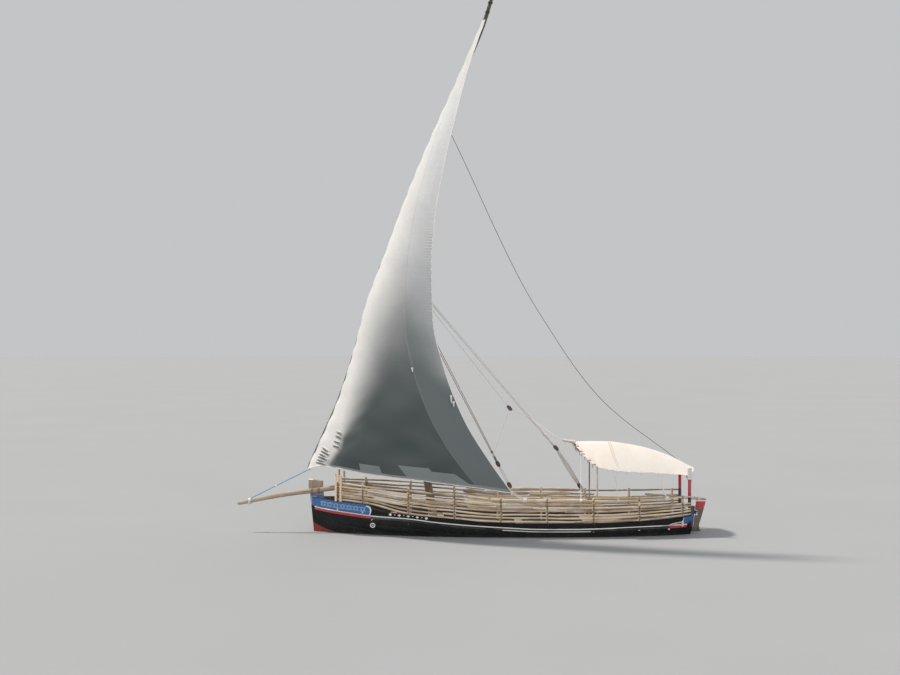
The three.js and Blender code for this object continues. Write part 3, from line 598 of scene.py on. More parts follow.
# %% The hull's paint
def hull_finish():
    """Tar over planks, a blue panel at bow and stern, and dull red bottom paint that rises towards the bow."""
    material, tree, shader, place, pairs = start_material("hull_paint", 0.4)
    shader.inputs["Specular IOR Level"].default_value = 0.25
    spot = node(tree, "SeparateXYZ", Vector=place)
    east, height = spot.outputs["X"], spot.outputs["Z"]
    strake = reading(tree, "strake")
    worn = effect(tree, "worn_paint", Vector=place, Amount=reading(tree, "scuff"))
    fibre = effect(tree, "wood_fibre", Vector=pairs, Tone=0.5)
    weather = effect(tree, "weathering", Vector=place)
    planks = node(
        tree, "TexBrick", Vector=pairs, Scale=1.0, Mortar_Size=0.004, Mortar_Smooth=0.2, Bias=0.0,
        Brick_Width=3.4, Row_Height=1.0, offset=0.37, squash_frequency=1,
        Color1=(0.0, 0.0, 0.0, 1), Color2=(1.0, 1.0, 1.0, 1), Mortar=(0.5, 0.5, 0.5, 1),
    )
    plank_tone = planks.outputs["Color"]
    tar = blend_colours(tree, plank_tone, (0.004, 0.004, 0.005, 1), (0.011, 0.011, 0.011, 1))
    chalk = times(tree, step_between(tree, weather["Stain"], 0.48, 0.72), 0.5)
    tar = blend_colours(tree, chalk, tar, (0.026, 0.026, 0.027, 1))
    high_up = sums(tree, "GREATER_THAN", strake, TOP_STRAKE_FROM)
    fore = sums(tree, "LESS_THAN", east, BOW_PANEL_END)
    aft = sums(tree, "GREATER_THAN", east, STERN_PANEL_START)
    panel = times(tree, high_up, plus(tree, fore, aft, clamp=True))
    blue = blend_colours(tree, weather["Stain"], (0.035, 0.11, 0.29, 1), (0.09, 0.21, 0.41, 1))
    coat = blend_colours(tree, panel, tar, blue)
    bend = sums(tree, "POWER", sums(tree, "MAXIMUM", times(tree, east, -1 / 5.8), 0.0), 9.0)
    wander = times(tree, sums(tree, "SUBTRACT", weather["Stain"], 0.5), 0.05)
    edge = plus(tree, times(tree, bend, BOTTOM_PAINT_RISE), plus(tree, wander, BOTTOM_PAINT_Z))
    under = step_between(tree, sums(tree, "SUBTRACT", edge, height), -0.006, 0.006)
    bottom = blend_colours(tree, fibre["Shade"], (0.20, 0.028, 0.022, 1), (0.36, 0.06, 0.045, 1))
    coat = blend_colours(tree, under, coat, bottom)
    slime = step_between(tree, height, 0.10, -0.02)
    growth = times(tree, slime, times(tree, weather["Stain"], 0.8))
    coat = blend_colours(tree, growth, coat, (0.055, 0.060, 0.040, 1))
    salt = times(tree, weather["Speck"], step_between(tree, height, 0.55, 0.0, 0.05, 0.35))
    coat = blend_colours(tree, salt, coat, (0.30, 0.29, 0.27, 1))
    coat = blend_colours(tree, worn["Bare"], coat, BARE)
    seam = planks.outputs["Fac"]
    coat = blend_colours(tree, seam, coat, (0.006, 0.006, 0.006, 1))
    tree.links.new(coat, shader.inputs["Base Color"])
    rough = step_between(tree, weather["Stain"], 0.3, 0.7, 0.34, 0.6)
    tree.links.new(rough, shader.inputs["Roughness"])
    height_map = sums(tree, "SUBTRACT", plus(tree, worn["Height"], fibre["Height"]), seam)
    raise_surface(tree, shader, height_map, 0.5, 0.004)
    return material


BOTTOM_STRAKES = 10
TOP_STRAKES = 2
TOP_STRAKE_FROM = BOTTOM_STRAKES + 1.02
BOW_PANEL_END = -4.05
STERN_PANEL_START = 5.48
BOTTOM_PAINT_Z = -0.10
BOTTOM_PAINT_RISE = 0.34
hull_paint = hull_finish()

# %% Cloth finishes
def canvas_finish(name, clean, worn, stain_and_shade, shade_and_soil_share=0.0, thread=0.35):
    """Canvas: threads, and bleached and soiled blotches."""
    material, tree, shader, place, pairs = start_material(name, 0.95)
    weave = effect(tree, "canvas_weave", Vector=pairs)
    weather = effect(tree, "weathering", Vector=place)
    soiled = step_between(tree, weave["Blotch"], 0.36, 0.66)
    colour = blend_colours(tree, soiled, clean, worn)
    marks = times(tree, weather["Speck"], 0.22)
    colour = blend_colours(tree, marks, colour, stain_and_shade)
    # The mesh's soil value, scaled by shade_and_soil_share, darkens the canvas towards the stain colour; on
    # the sail this is painted shade.
    dark = times(tree, reading(tree, "shade_and_soil"), shade_and_soil_share)
    colour = blend_colours(tree, dark, colour, stain_and_shade)
    threads = step_between(tree, weave["Thread"], 0.0, 1.0, 1.0 - thread, 1.0)
    woven = node(tree, "CombineColor", Red=threads, Green=threads, Blue=threads).outputs["Color"]
    colour = blend_colours(tree, 1.0, colour, woven, how="MULTIPLY")
    tree.links.new(colour, shader.inputs["Base Color"])
    shader.inputs["Sheen Weight"].default_value = 0.15
    shader.inputs["Specular IOR Level"].default_value = 0.2
    height = plus(tree, weave["Thread"], times(tree, weave["Blotch"], 2.0))
    raise_surface(tree, shader, height, 0.35, 0.002)
    return material


# The dark colours of the sail's canvas: its specks, and the painted shade that sail_painted_shade lays on it.
SAIL_SHADE_AND_STAIN = (0.085, 0.105, 0.105, 1)
LEECH_SHADE_AND_STAIN = (0.185, 0.21, 0.21, 1)
sail_canvas = canvas_finish("sail_canvas", (0.80, 0.785, 0.77, 1), (0.74, 0.72, 0.70, 1), SAIL_SHADE_AND_STAIN, 1.0)
leech_canvas = canvas_finish("leech_canvas", (0.78, 0.775, 0.78, 1), (0.72, 0.71, 0.71, 1), LEECH_SHADE_AND_STAIN, 1.0)
patch_canvas = canvas_finish("patch_canvas", (0.40, 0.45, 0.44, 1), (0.34, 0.38, 0.37, 1), LEECH_SHADE_AND_STAIN, 0.55)
hem_canvas = canvas_finish("hem_canvas", (0.88, 0.86, 0.82, 1), (0.80, 0.77, 0.72, 1), SAIL_SHADE_AND_STAIN, 0.4)
awning_canvas = canvas_finish(
    "awning_canvas", (0.88, 0.81, 0.74, 1), (0.83, 0.75, 0.67, 1), (0.52, 0.38, 0.26, 1), 0.6,
)
seam_canvas = canvas_finish(
    "seam_canvas", (0.62, 0.50, 0.38, 1), (0.54, 0.42, 0.31, 1), (0.40, 0.30, 0.21, 1),
)
wrap_cloth = canvas_finish("wrap_cloth", (0.86, 0.85, 0.82, 1), (0.72, 0.71, 0.68, 1), (0.35, 0.33, 0.30, 1))

# %% Rope and iron finishes
def rope_finish(name, light, dark):
    """Laid rope: bright strands, with painted shade darkening the grooves between them, and darker fibres here
    and there.
    """
    material, tree, shader, place, pairs = start_material(name, 0.88)
    lay = effect(tree, "rope_lay", Vector=pairs)
    weather = effect(tree, "weathering", Vector=place)
    colour = blend_colours(tree, lay["Strand"], dark, light)
    colour = blend_colours(tree, times(tree, lay["Fibre"], 0.35), colour, dark)
    colour = blend_colours(tree, times(tree, weather["Speck"], 0.3), colour, (0.10, 0.09, 0.07, 1))
    tree.links.new(colour, shader.inputs["Base Color"])
    height = plus(tree, lay["Strand"], times(tree, lay["Fibre"], 0.3))
    raise_surface(tree, shader, height, 0.8, 0.006)
    return material


def iron_finish():
    """Forged iron, blackened, with rust."""
    material, tree, shader, place, pairs = start_material("forged_iron", 0.6)
    rust = step_between(tree, clouds(tree, place, 14.0, 6.0, 0.7), 0.42, 0.62)
    colour = blend_colours(tree, rust, (0.055, 0.05, 0.048, 1), (0.20, 0.075, 0.03, 1))
    tree.links.new(colour, shader.inputs["Base Color"])
    metal = step_between(tree, rust, 0.0, 1.0, 0.75, 0.05)
    tree.links.new(metal, shader.inputs["Metallic"])
    tree.links.new(step_between(tree, rust, 0.0, 1.0, 0.45, 0.9), shader.inputs["Roughness"])
    raise_surface(tree, shader, clouds(tree, place, 60.0, 5.0, 0.7), 0.5, 0.003)
    return material


# Each rope has the colour of its strands and a darker one, used as painted shade in the grooves and for darker
# fibres.
rope_pale = rope_finish("rope_pale", (0.93, 0.91, 0.86, 1), (0.66, 0.63, 0.57, 1))
rope_brown = rope_finish("rope_brown", (0.40, 0.29, 0.19, 1), (0.12, 0.085, 0.06, 1))
rope_dark = rope_finish("rope_dark", (0.10, 0.085, 0.07, 1), (0.03, 0.025, 0.02, 1))
rope_blue = rope_finish("rope_blue", (0.10, 0.42, 0.66, 1), (0.03, 0.12, 0.22, 1))
forged_iron = iron_finish()
print(len(bpy.data.materials), "finishes")

# %% Dress a finished piece
def dress(obj, material, slot, body, *replaced):
    """Gives a piece its finish, the body it rides on and the solids it stands for; the slot is not used."""
    if material is not None:
        obj.data.materials.clear()
        obj.data.materials.append(material)
    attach(obj, body)
    if replaced:
        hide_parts(*replaced)
    return obj


def dress_parts(name, parts, *finish):
    """Joins parts into one smooth piece and dresses it."""
    return dress(smooth(joined(name, parts), 60), *finish)


def dress_pole(name, width, steps, tone, body):
    """A solid with its edges rounded, dressed as peeled pole."""
    pole = rounded(name, width, steps)
    paint_value(pole, "tone", tone)
    return dress(smooth(pole, 60), pole_wood, "pole_wood", body, name)


# %% [markdown]
# ## The hull's planks
# The hull is a shell of planks on frames. Its shape follows the same stations as the solid, drawn through
# by a fair curve, and the skin is divided into strakes of even girth with a V groove at every seam. Below
# the wale there are ten strakes, one lies behind the wale, and two are above it.

# %% Hull lines
# [sheer x, rabbet x, rabbet z, sheer z, half breadth, fullness, wale z, rabbet flare]
HULL_LINES = [
    (-5.93, -5.80, -0.10, 1.06, 0.12, 0.0, 0.75, 0.045),
    (-5.62, -5.62, -0.48, 1.04, 0.35, 0.1, 0.71, 0.030),
    (-5.13, -5.25, -0.76, 1.00, 0.69, 0.3, 0.66, 0.012),
    (-4.55, -4.65, -0.92, 0.96, 0.96, 0.5, 0.605, 0.003),
    (-4.15, -4.20, -0.96, 0.93, 1.10, 0.62, 0.565, 0.0),
    (-3.95, -3.98, -0.97, 0.80, 1.155, 0.68, 0.552, 0.0),
    (-3.00, -3.00, -0.98, 0.66, 1.41, 0.85, 0.515, 0.0),
    (-2.00, -2.00, -0.98, 0.59, 1.575, 0.92, 0.41, 0.0),
    (-1.00, -1.00, -0.98, 0.51, 1.665, 0.95, 0.33, 0.0),
    (0.00, 0.00, -0.98, 0.45, 1.70, 0.95, 0.272, 0.0),
    (1.00, 1.00, -0.98, 0.43, 1.70, 0.95, 0.225, 0.0),
    (2.00, 2.00, -0.98, 0.43, 1.68, 0.93, 0.218, 0.0),
    (3.00, 3.00, -0.97, 0.44, 1.62, 0.88, 0.235, 0.0),
    (4.00, 4.00, -0.92, 0.465, 1.51, 0.8, 0.268, 0.0),
    (5.00, 5.00, -0.75, 0.52, 1.33, 0.7, 0.29, 0.0),
    (5.76, 5.655, -0.45, 0.60, 1.13, 0.6, 0.305, 0.0),
]
HALF_KEEL = 0.075
PLANK_THICKNESS = 0.045
WALE_HEIGHT = 0.10
WALE_DEPTH = 0.032
SEAM_DEPTH = 0.005
STATION_COUNT = 130
PORT, STARBOARD = -1, 1
SIDE_NAMES = {PORT: "port", STARBOARD: "starboard"}
hull_lines = fairing(HULL_LINES)


def skin_point(station, t, side):
    """The outer face at a station, with t from 0 at the keel to 1 at the sheer."""
    rabbet_x, rabbet_z, sheer_z, breadth, fullness, _, flare = hull_lines(station)
    inner = HALF_KEEL + 0.0003 + flare
    swell = fullness * math.sqrt(max(0.0, 1 - (1 - t) ** 2)) + (1 - fullness) * t
    x = rabbet_x + (station - rabbet_x) * t
    y = inner + (breadth - inner) * swell
    return np.array((x, side * y, rabbet_z + (sheer_z - rabbet_z) * t))


def skin_out(station, t, side):
    """The unit vector out of the skin, square to its section."""
    rise = skin_point(station, min(t + 0.01, 1.0), side) - skin_point(station, max(t - 0.01, 0.0), side)
    out = np.array((0.0, side * rise[2], -side * rise[1]))
    return out / np.linalg.norm(out)


def share_at(station, z):
    """The share t of the section at a height z."""
    row = hull_lines(station)
    return float(np.clip((z - row[1]) / (row[2] - row[1]), 0.0, 1.0))


def sheer_at(station):
    return hull_lines(station)[2]


def breadth_at(station):
    return hull_lines(station)[3]


def strake_levels(station):
    """The shares t of the seams at one station, from the keel to the sheer."""
    wale_z = hull_lines(station)[5]
    foot = share_at(station, wale_z - WALE_HEIGHT / 2)
    top = share_at(station, wale_z + WALE_HEIGHT / 2)
    shares = np.linspace(0.0, foot, 25)
    points = np.array([skin_point(station, t, STARBOARD)[1:] for t in shares])
    girth = np.concatenate([[0.0], np.cumsum(np.linalg.norm(np.diff(points, axis=0), axis=1))])
    even = np.interp(np.linspace(0.0, girth[-1], BOTTOM_STRAKES + 1), girth, shares)
    return np.concatenate([even, np.linspace(top, 1.0, TOP_STRAKES + 1)])


def station_list(count=STATION_COUNT):
    """Stations closer together at the bow, where the skin bends most."""
    share = np.linspace(0.0, 1.0, count)
    first, last = HULL_LINES[0][0], HULL_LINES[-1][0]
    return first + (last - first) * (0.35 * share ** 2 + 0.65 * share)


# %% Plank skins
# Across one strake: [share of its width, height over the fair surface]
PLANK_SECTION = [(0.0, -SEAM_DEPTH), (0.07, 0.0), (0.5, 0.0015), (0.93, 0.0)]


def make_planking(side):
    """One side's skin with its seams, then given the planks' thickness inwards."""
    places, pairs, strakes, scuffs = [], [], [], []
    for station in station_list():
        levels = strake_levels(station)
        row, marks = [], []
        for k in range(len(levels) - 1):
            proud = 0.0012 * math.sin(k * 2.4)
            for share, height in PLANK_SECTION:
                t = levels[k] + (levels[k + 1] - levels[k]) * share
                out = skin_out(station, t, side) * (height + proud)
                row.append(skin_point(station, t, side) + out)
                marks.append(k + share)
        row.append(skin_point(station, 1.0, side))
        marks.append(len(levels) - 1 - 0.001)
        places.append(row)
        pairs.append([(station, mark) for mark in marks])
        strakes.append(marks)
        scuffs.append([0.12 + 0.25 * (mark > len(levels) - 1.35) for mark in marks])
    skin = sheet_of("planks_" + SIDE_NAMES[side], places, pairs)
    paint_value(skin, "strake", np.array(strakes).reshape(-1))
    paint_value(skin, "scuff", np.array(scuffs).reshape(-1))
    paint_value(skin, "tone", 0.4)
    edit(skin)
    bpy.ops.mesh.normals_make_consistent(inside=False)
    close(skin)
    middle = skin.data.polygons[len(skin.data.polygons) // 2]
    outwards = middle.normal[1] * side > 0
    if not outwards:
        edit(skin)
        bpy.ops.mesh.flip_normals()
        close(skin)
    skin.data.materials.append(hull_paint)
    skin.data.materials.append(dark_wood)
    wall = skin.modifiers.new("thickness", "SOLIDIFY")
    wall.thickness = PLANK_THICKNESS
    wall.offset = -1.0
    wall.material_offset = 1
    wall.material_offset_rim = 0
    apply_modifiers(skin)
    smooth(skin, 28)
    return dress(skin, None, "tarred_wood", "hull", "planking_" + SIDE_NAMES[side])


for side in (PORT, STARBOARD):
    planks = make_planking(side)
    print(planks.name, len(planks.data.polygons), "faces")

# %% [markdown]
# ## The wale
# A rubbing strake runs along each side. It has a bead along both arrises, painted white over a dark middle.
# At the bow and the stern its face is red under the white upper bead.

# %% Wale
# Across the wale from its top: [share of its height, how far out as a share of its depth, paint]
# The paint numbers pick a material: 0 white, 1 dark or red between the beads.
WALE_SECTION = [
    (0.0, -0.25), (0.0, 0.55), (0.03, 0.85), (0.12, 1.0), (0.22, 0.95), (0.27, 0.62), (0.5, 0.66),
    (0.73, 0.62), (0.78, 0.95), (0.88, 1.0), (0.97, 0.85), (1.0, 0.55), (1.0, -0.25), (0.0, -0.25),
]
RED_WALE_BOW_END = -4.07
RED_WALE_STERN_START = 5.02
WHITE_BEAD_FROM, WHITE_BEAD_TO = -0.1, 2.6


def make_wale(side):
    """The moulded strake, bent along the side, with its paint by part."""
    stations = station_list(110)[1:-1]
    rings, pairs = [], []
    for station in stations:
        wale_z = hull_lines(station)[5]
        ring = []
        for share, out in WALE_SECTION:
            t = share_at(station, wale_z + WALE_HEIGHT * (0.5 - share))
            ring.append(skin_point(station, t, side) + skin_out(station, t, side) * WALE_DEPTH * out)
        rings.append(ring)
        pairs.append([(station, 0.1 * share) for share, _ in WALE_SECTION])
    wale = closed_tube("wale_strake_" + SIDE_NAMES[side], rings, pairs)
    for material in (white_paint, black_paint, red_paint):
        wale.data.materials.append(material)
    for face in wale.data.polygons:
        x = face.center.x
        foot = hull_lines(x)[5] - WALE_HEIGHT / 2
        share = 1 - (face.center.z - foot) / WALE_HEIGHT
        ends = x < RED_WALE_BOW_END or x > RED_WALE_STERN_START
        lower_bead = share > 0.75 and WHITE_BEAD_FROM < x < WHITE_BEAD_TO
        if ends:
            face.material_index = 0 if share < 0.25 else 2
        else:
            face.material_index = 0 if share < 0.25 or lower_bead else 1
    paint_value(wale, "tone", 0.5)
    smooth(wale, 50)
    return dress(wale, None, "white_paint", "hull", "wale_" + SIDE_NAMES[side])


for side in (PORT, STARBOARD):
    make_wale(side)
print("wales painted")

# %% [markdown]
# ## Timbers under the skin
# Keel, posts, frames, thwarts and floor are plain timbers, and the solids have their true shape. A copy of
# each is merged, its flat faces are cleaned, and its arrises are rounded as an adze and years of use leave
# them. The decks are then sawn into boards, each parted from the next by a dark gap.

# %% Rounded copies of the timbers
def rounded(node_name, width, grain, segments=2):
    """A merged copy of a solid with rounded arrises and its grain along one axis."""
    source = take(frame["nodes"][node_name])
    bpy.ops.object.duplicate()
    copy = bpy.context.object
    copy.name = "dressed_" + node_name
    copy.parent = None
    copy.data.materials.clear()
    edit(copy)
    bpy.ops.mesh.remove_doubles(threshold=0.0001)
    bpy.ops.mesh.dissolve_limited(angle_limit=math.radians(0.6))
    close(copy)
    bevel = copy.modifiers.new("arris", "BEVEL")
    bevel.width = width
    bevel.segments = segments
    bevel.limit_method = "ANGLE"
    bevel.angle_limit = math.radians(35)
    bevel.use_clamp_overlap = True
    apply_modifiers(copy)
    smooth(copy, 35)
    return board_uv(copy, grain)


# [node, arris width, grain axis, finish, slot, tone]
TIMBERS = [
    ("keel", 0.012, 0, "black", "tarred_wood", 0.4),
    ("stern_post", 0.012, 2, "black", "tarred_wood", 0.5),
    ("frames_port", 0.008, 2, "deck", "weathered_wood", 0.3),
    ("frames_starboard", 0.008, 2, "deck", "weathered_wood", 0.6),
    ("mast_step", 0.015, 0, "deck", "weathered_wood", 0.5),
    ("mast_thwart", 0.012, 1, "deck", "weathered_wood", 0.7),
    ("thwart_fore", 0.010, 1, "deck", "weathered_wood", 0.4),
    ("thwart_mid", 0.010, 1, "deck", "weathered_wood", 0.6),
]
FINISHES = {"black": black_paint, "deck": deck_wood}
for timber_name, width, grain, finish, slot, tone in TIMBERS:
    timber = rounded(timber_name, width, grain)
    paint_value(timber, "tone", tone)
    dress(timber, FINISHES[finish], slot, "hull", timber_name)
print(len(TIMBERS), "timbers rounded")

# %% Boards
BOARD_WIDTH = 0.17
BOARD_GAP = 0.006


def sawn(node_name, axis, width):
    """Cuts a copy of a solid into boards across an axis, with a gap between them."""
    whole = rounded(node_name, 0.003, 0, 1)
    low, high = (float(corner[axis]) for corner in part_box(node_name))
    count = max(1, round((high - low) / width))
    normal = [0.0, 0.0, 0.0]
    normal[axis] = 1.0
    boards = []
    for k in range(count):
        take(whole)
        bpy.ops.object.duplicate()
        board = bpy.context.object
        first = low + (high - low) * k / count
        last = low + (high - low) * (k + 1) / count
        for place, inner, outer in (
            (first + BOARD_GAP / 2, True, False), (last - BOARD_GAP / 2, False, True),
        ):
            edit(board)
            point = [place if i == axis else 0.0 for i in range(3)]
            bpy.ops.mesh.bisect(
                plane_co=point, plane_no=normal, use_fill=True, clear_inner=inner, clear_outer=outer,
            )
            close(board)
        if not board.data.polygons:
            bpy.data.objects.remove(board)
            continue
        paint_value(board, "tone", random.random())
        boards.append(board)
    bpy.data.objects.remove(whole)
    return joined("boards_" + node_name, boards)


# [deck, axis across its boards]
DECKS = [("foredeck", 1), ("aft_deck", 1), ("floor_boards", 1)]
for deck_name, axis in DECKS:
    deck = sawn(deck_name, axis, BOARD_WIDTH)
    board_uv(deck, 1 - axis)
    dress(deck, deck_wood, "weathered_wood", "hull", deck_name)
print(len(DECKS), "decks sawn into boards")

# %% [markdown]
# ## The yard and the mast
# The yard is two long spars lashed together end over end, so it has a fat middle with a step where one lies
# on the other, and turns of rope hold it. The mast is one trunk with a square-cut head and rope bands.

# %% Yard
# From heel to peak: [z, x, y, radius]
YARD_LINE = [
    (1.90, -6.095, 0.450, 0.055),
    (2.81, -5.650, 0.359, 0.078),
    (4.07, -5.070, 0.227, 0.095),
    (5.64, -4.530, 0.064, 0.108),
    (7.19, -4.075, -0.098, 0.115),
    (8.74, -3.470, -0.263, 0.115),
    (10.28, -2.900, -0.474, 0.108),
    (11.80, -2.270, -0.683, 0.098),
    (13.30, -1.600, -0.890, 0.084),
    (14.50, -1.060, -1.055, 0.072),
    (15.60, -0.600, -1.206, 0.060),
    (16.72, -0.250, -1.340, 0.042),
]
YARD_HEEL, YARD_PEAK = YARD_LINE[0][0], YARD_LINE[-1][0]
FISH_FROM, FISH_TO, FISH_RADIUS = 6.2, 10.6, 0.050
# The second spar lies along the yard's after side, clear of the mast
FISH_SHIFT = np.array((0.098, -0.035, 0.0))
LASHING_HEIGHTS = [3.3, 5.0, 6.7, 7.6, 8.8, 9.6, 10.4, 12.2, 14.1, 15.9]
yard_line = fairing(YARD_LINE)


def yard_place(z):
    """The yard's middle at a height."""
    x, y, _ = yard_line(z)
    return np.array((x, y, z))


def yard_way(z):
    """The yard's direction at a height."""
    return yard_place(z + 0.1) - yard_place(z - 0.1)


def coil(name, centre, axis, radius, turns, thickness, sides=6, steps=12):
    """Turns of rope wound side by side round an axis."""
    axis = np.asarray(axis, float) / np.linalg.norm(axis)
    side = np.cross(axis, (0.0, 0.0, 1.0) if abs(axis[2]) < 0.9 else (1.0, 0.0, 0.0))
    side /= np.linalg.norm(side)
    up = np.cross(axis, side)
    angles = np.linspace(0.0, 2 * math.pi * turns, steps * turns + 1)
    shift = (angles / (2 * math.pi) - turns / 2) * thickness * 2.05
    path = np.array(centre) + radius * (
        np.cos(angles)[:, None] * side + np.sin(angles)[:, None] * up
    ) + shift[:, None] * axis
    return tube(name, path, thickness, sides, turns=2 * thickness)


def make_yard():
    """The long spar, the second one beside its middle, and the lashings round both."""
    heights = np.linspace(YARD_HEEL, YARD_PEAK, 91)
    radii = np.array([yard_line(z)[2] * (1 + ripple((z * 2.0, 0, 0), 1.0, 0.03)) for z in heights])
    radii[:2] *= (0.55, 0.9)
    radii[-2:] *= (0.9, 0.55)
    spar = tube("yard_spar", [yard_place(z) for z in heights], radii, 16, tone=0.45)
    fish = np.linspace(FISH_FROM, FISH_TO, 41)
    taper = np.clip(np.minimum(np.linspace(0, 5, 41), np.linspace(5, 0, 41)), 0.3, 1.0)
    second = tube("yard_fish", [yard_place(z) + FISH_SHIFT for z in fish], FISH_RADIUS * taper, 12, tone=0.8)
    dress(smooth(joined("yard_spars", [spar, second]), 50), yard_wood, "weathered_wood", "yard_rig", "yard")
    turns = []
    for height in LASHING_HEIGHTS:
        over = FISH_FROM < height < FISH_TO
        centre = yard_place(height) + (FISH_SHIFT * 0.3 if over else 0.0)
        size = yard_line(height)[2] + (0.036 if over else 0.007)
        turns.append(coil("turns", centre, yard_way(height), size, 6 if over else 4, 0.007))
    for height, size in ((16.18, 0.066), (16.30, 0.062), (16.46, 0.056), (16.60, 0.050)):
        turns.append(coil("turns", yard_place(height), yard_way(height), size, 3, 0.010))
    dress_parts("yard_lashings", turns, rope_dark, "rope", "yard_rig")


make_yard()
print("yard lashed at", len(LASHING_HEIGHTS), "places")

# %% Mast
MAST_FOOT = np.array((-2.23, 0.0, 0.9))
MAST_LEAN = -0.1689
MAST_TOP_Z = 8.72
MAST_HEAD_RADIUS = 0.092


def mast_point(z):
    return MAST_FOOT + np.array((MAST_LEAN, 0.0, 1.0)) * (z - MAST_FOOT[2])


mast_radius = fairing([(-0.76, 0.125), (0.9, 0.125), (4.5, 0.112), (7.97, 0.092), (8.72, 0.092)])


def make_mast():
    """The trunk, slightly uneven, with its head cut square, and bands of rope."""
    heights = np.linspace(-0.7595, MAST_TOP_Z, 80)
    path = np.array([mast_point(z) for z in heights])
    radii = np.array([mast_radius(z)[0] * (1 + ripple((z, 0, 3), 0.9, 0.04)) for z in heights])
    radii = np.where(heights > 7.8, MAST_HEAD_RADIUS * 0.997, radii)
    trunk = smooth(tube("mast_trunk", path, radii, 20, tone=0.3), 50)
    dress(trunk, spar_wood, "weathered_wood", "hull", "mast")
    bands = []
    for height, turns, thickness in ((1.05, 5, 0.011), (2.6, 3, 0.010), (8.46, 4, 0.012), (8.66, 3, 0.012)):
        radius = mast_radius(height)[0] + thickness * 0.8
        bands.append(coil("band", mast_point(height), (MAST_LEAN, 0, 1), radius, turns, thickness, 6, 16))
    dress_parts("mast_bands", bands, rope_brown, "rope", "hull")


make_mast()
print("mast stepped")

# %% [markdown]
# ## The sail
# A lateen sail is sewn from long cloths that run beside the leech, its free edge aft. It is drawn here as
# one sheet over a grid: each row goes from the yard to the leech along a chord and swells out by the belly.
# Higher up the luff is drawn forward over the yard and hides it. Finer forms are added on top, such as the
# scallops between the ties and the puckers along the leech. Only the cloth beside the leech differs in
# colour, and its seam shows. Cloth simulation isn't used, because the wind's shape is known from the
# photograph.
# The sail's shade is painted into its canvas: darkest in the low middle, bright at the luff, and less dark on
# the cloth beside the leech.

# %% Sail lines
# From foot to head: [row, leech x, leech y, leech z, belly, how far the luff covers the yard as a share of
# its radius]
SAIL_LINES = [
    (0, 0.230, -1.720, 1.360, 0.76, 0.3),
    (1, -0.480, -1.870, 2.370, 0.86, 0.45),
    (2, -1.210, -2.060, 3.580, 0.88, 0.6),
    (3, -1.800, -2.190, 5.080, 0.80, 0.8),
    (4, -2.145, -2.250, 6.570, 0.62, 1.0),
    (5, -2.190, -2.270, 8.120, 0.45, 1.0),
    (6, -2.065, -2.170, 9.700, 0.29, 1.0),
    (7, -1.790, -2.070, 11.260, 0.17, 1.0),
    (8, -1.415, -1.970, 12.850, 0.09, 1.0),
    (9, -1.047, -1.737, 14.240, 0.045, 1.0),
    (10, -0.579, -1.462, 15.640, 0.015, 1.0),
]
# Rise of the foot over its chord, from tack to clew
FOOT_RISE = [0.0, 0.190, 0.200, 0.175, 0.160, 0.150, 0.145, 0.120, 0.090, 0.050, 0.0]
SAIL_TOP = SAIL_LINES[-1][0]
LEECH_CLOTH = 0.98
LEECH_CLOTH_TAPER = 0.19
TIE_STEP = 0.56
PUCKER_STEP = 0.082
HEM_WIDTH = 0.21
FOOT_BAND, FOOT_BAND_PALER = 0.12, 0.22
CANVAS_THICKNESS = 0.005
PATCH_THICKNESS = 0.003
# The painted shade on the main cloths: [most, middle row at the luff, how much higher at the leech, reach in
# rows]
PAINTED_SHADE_MAIN = (0.98, 3.77, 0.74, 0.64)
# How fast the painted shade begins behind the bright strip: [share at the foot, more for each row above the
# first]
PAINTED_SHADE_EDGE = (0.05, 0.30)
# The painted shade on the leech cloth: [most, middle row, reach in rows, how much paler at the edge, least]
PAINTED_SHADE_LEECH = (0.97, 4.1, 0.35, 0.45, 0.07)
GREY_UNEVEN = 0.05
sail_lines = fairing(SAIL_LINES)
luff_line = fairing([(i, x, y, z, radius) for i, (z, x, y, radius) in enumerate(YARD_LINE)])
foot_rise = fairing([(i / 10, rise) for i, rise in enumerate(FOOT_RISE)])
print("sail rows", len(SAIL_LINES))

# %% Sail shape
def sail_base(u, row):
    """The sail's middle surface: u from 0 at the luff to 1 at the leech, and row from 0 at the foot."""
    x, y, z, radius = luff_line(row)
    leech_x, leech_y, leech_z, belly, cover = sail_lines(row)
    luff = np.array((x - radius * cover, y - radius - 0.012, z))
    chord = np.array((leech_x, leech_y, leech_z)) - luff
    level = np.hypot(chord[0], chord[1])
    outwards = np.array((chord[1], -chord[0], 0.0)) / level
    point = luff + chord * u + outwards * belly * math.sin(math.pi * u ** 0.85)
    point[2] += foot_rise(u)[0] * max(0.0, 1 - row) ** 1.5
    return point, outwards, float(np.linalg.norm(chord))


def leech_cloth(row):
    """The width of the cloth beside the leech, which narrows on its way up."""
    return LEECH_CLOTH - LEECH_CLOTH_TAPER * clamped((row - 1.2) / 3.0)


